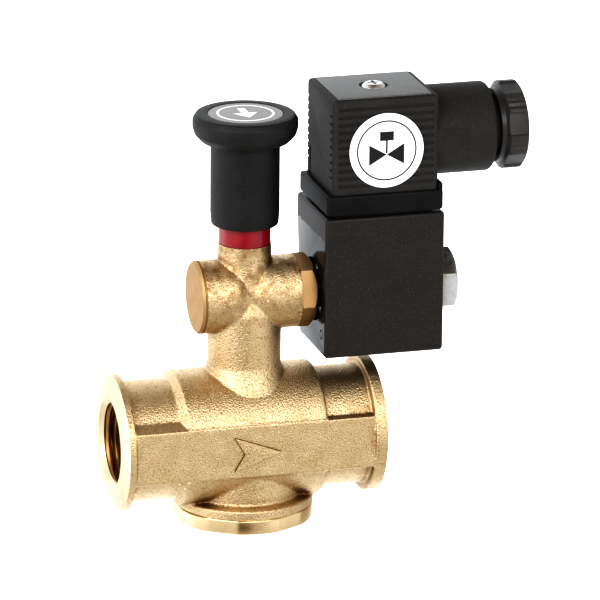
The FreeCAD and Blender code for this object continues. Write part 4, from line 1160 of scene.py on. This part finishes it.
def gland_nut():
    """The cable gland's nut: a collar, then a head with raised grips between plain facets."""
    low, high = extent("gland_nut")
    radius = 10.55
    inside = 7.5
    shoulder = 62.9
    sides = 12
    half = math.pi / sides
    outline = []
    for k in range(sides):
        middle = 2 * math.pi * (k + 0.5) / sides
        raised = k % 2 == 0
        tip = radius if raised else radius - 0.45
        steps = 7 if raised else 1
        for step in range(steps + 1):
            angle = middle + half * 0.94 * (2 * step / steps - 1)
            groove = 0.22 if raised and 0 < step < steps and step % 2 else 0.0
            outline.append(((tip - groove) * math.cos(angle), (tip - groove) * math.sin(angle)))
    head = prism("gland_cap", outline, low.x, high.x, "X", GLAND_AXIS)
    shape = turned("shape", [
        (8.9, low.x, 0.3), (8.9, shoulder - 0.9, 0.2), (radius + 0.3, shoulder, 0.1),
        (radius + 0.3, high.x - 0.75), (radius - 0.9, high.x, 0.3),
    ], "X", GLAND_AXIS)
    combined(head, [shape], "INTERSECT")
    hollow = turned("hollow", [
        (inside + 0.3, low.x - 1), (inside + 0.3, 65.6), (4.3, 65.6), (4.3, high.x - 0.3),
        (4.9, high.x + 0.3),
    ], "X", GLAND_AXIS)
    combined(head, [hollow])
    bevelled(head, 0.07, 2, 20)
    shown(head, "gland", "connector_plastic", "gland_nut", material=GLAND_PLASTIC)


gasket()
connector()
sticker()
gland_nut()

# ---------------- studio

def floor():
    """A pale table top, which lights the valve but isn't mirrored in it."""
    half_width = 4000.0
    mesh = bmesh.new()
    bmesh.ops.create_grid(mesh, x_segments=1, y_segments=1, size=half_width)
    plane = as_object("table", mesh)
    look = Look("table_white", (0.80, 0.80, 0.80), 0.0, 0.8)
    look.shader.inputs["Emission Color"].default_value = (1.0, 1.0, 1.0, 1.0)
    look.shader.inputs["Emission Strength"].default_value = 0.55
    dressed(plane, look.material)
    plane.visible_glossy = False


def softbox(name, at, size, power):
    """A rectangular studio light, aimed at the middle of the valve and hidden from the camera."""
    data = bpy.data.lights.new(name, "AREA")
    data.shape = "RECTANGLE"
    data.size, data.size_y = size
    data.energy = power
    lamp = placed(name, data)
    lamp.location = at
    lamp.rotation_euler = (LAMP_AIM - Vector(at)).to_track_quat("-Z", "Y").to_euler()
    lamp.visible_camera = False


def sky():
    """The room that the brass mirrors: an even grey with broad bright and dark patches."""
    world = bpy.data.worlds.new("studio")
    bpy.context.scene.world = world
    world.use_nodes = True
    room = Nodes(world.node_tree)
    direction = room.add("ShaderNodeTexCoord").outputs["Generated"]
    light = ROOM_GREY
    for bearing, height, spread, strength in ROOM_PATCHES:
        side = math.radians(bearing)
        up = math.radians(height)
        middle = (math.sin(side) * math.cos(up), -math.cos(side) * math.cos(up), math.sin(up))
        nearness = room.vector("DOT_PRODUCT", direction, middle)["Value"]
        apart = room.math("SUBTRACT", nearness, 1.0)
        glow = room.math("EXPONENT", room.math("DIVIDE", apart, 1 - math.cos(math.radians(spread))))
        light = room.math("ADD", light, room.math("MULTIPLY", glow, strength))
    background = room.tree.nodes["Background"]
    room.link(room.ramp(light, *ROOM_TINTS), background.inputs["Color"])
    room.link(room.math("MAXIMUM", light, DARKEST), background.inputs["Strength"])


def camera():
    """Stands in front, a little to the left and above, far off with a long lens."""
    side = math.radians(16.23)
    height = math.radians(17.47)
    roll = math.radians(0.52)
    distance = 1.472
    right = Vector((math.cos(side), -math.sin(side), 0))
    level = math.cos(height)
    back = Vector((-math.sin(side) * level, -math.cos(side) * level, math.sin(height)))
    up = back.cross(right)
    target = Vector((0.010, 0.0, 0.0505)) + right * 0.00364 + up * 0.00205
    turned_right = right * math.cos(roll) + up * math.sin(roll)
    turned_up = back.cross(turned_right)
    data = bpy.data.cameras.new("camera")
    data.sensor_width = 36.0
    data.lens = 371.0
    data.clip_end = 20.0
    eye = placed("camera", data)
    facing = Matrix((turned_right, turned_up, back)).transposed().to_4x4()
    eye.matrix_world = Matrix.Translation(target + back * distance) @ facing
    bpy.context.scene.camera = eye


# each patch: bearing from the front towards the outlet, height and spread in degrees, and strength
ROOM_GREY = 0.66
DARKEST = 0.04
ROOM_PATCHES = [
    (-100, 5, 45, 0.60),
    (-126, -16, 14, 0.90),
    (-16, -17, 16, -0.75),
    (12, 42, 20, 0.60),
    (52, -10, 24, 0.40),
    (180, 20, 34, 0.75),
    (115, -10, 30, -0.28),
    (0, 90, 38, -0.70),
    (165, -55, 28, 0.90),
]

# the colour of the room's light from its darkest to its brightest parts
ROOM_TINTS = [(0.15, (1.0, 0.76, 0.46)), (0.6, (1.0, 0.98, 0.94)), (1.0, (0.94, 0.97, 1.0))]

LAMP_AIM = Vector((0, 0, 0.05))

floor()
softbox("key_left", (-0.8, -0.45, 0.6), (0.7, 0.7), 5.0)
softbox("key_front", (0.1, -0.9, 0.6), (0.8, 0.35), 3.0)
sky()
camera()
bpy.context.scene.view_settings.view_transform = "Standard"
bpy.context.scene.view_settings.look = "Very High Contrast"
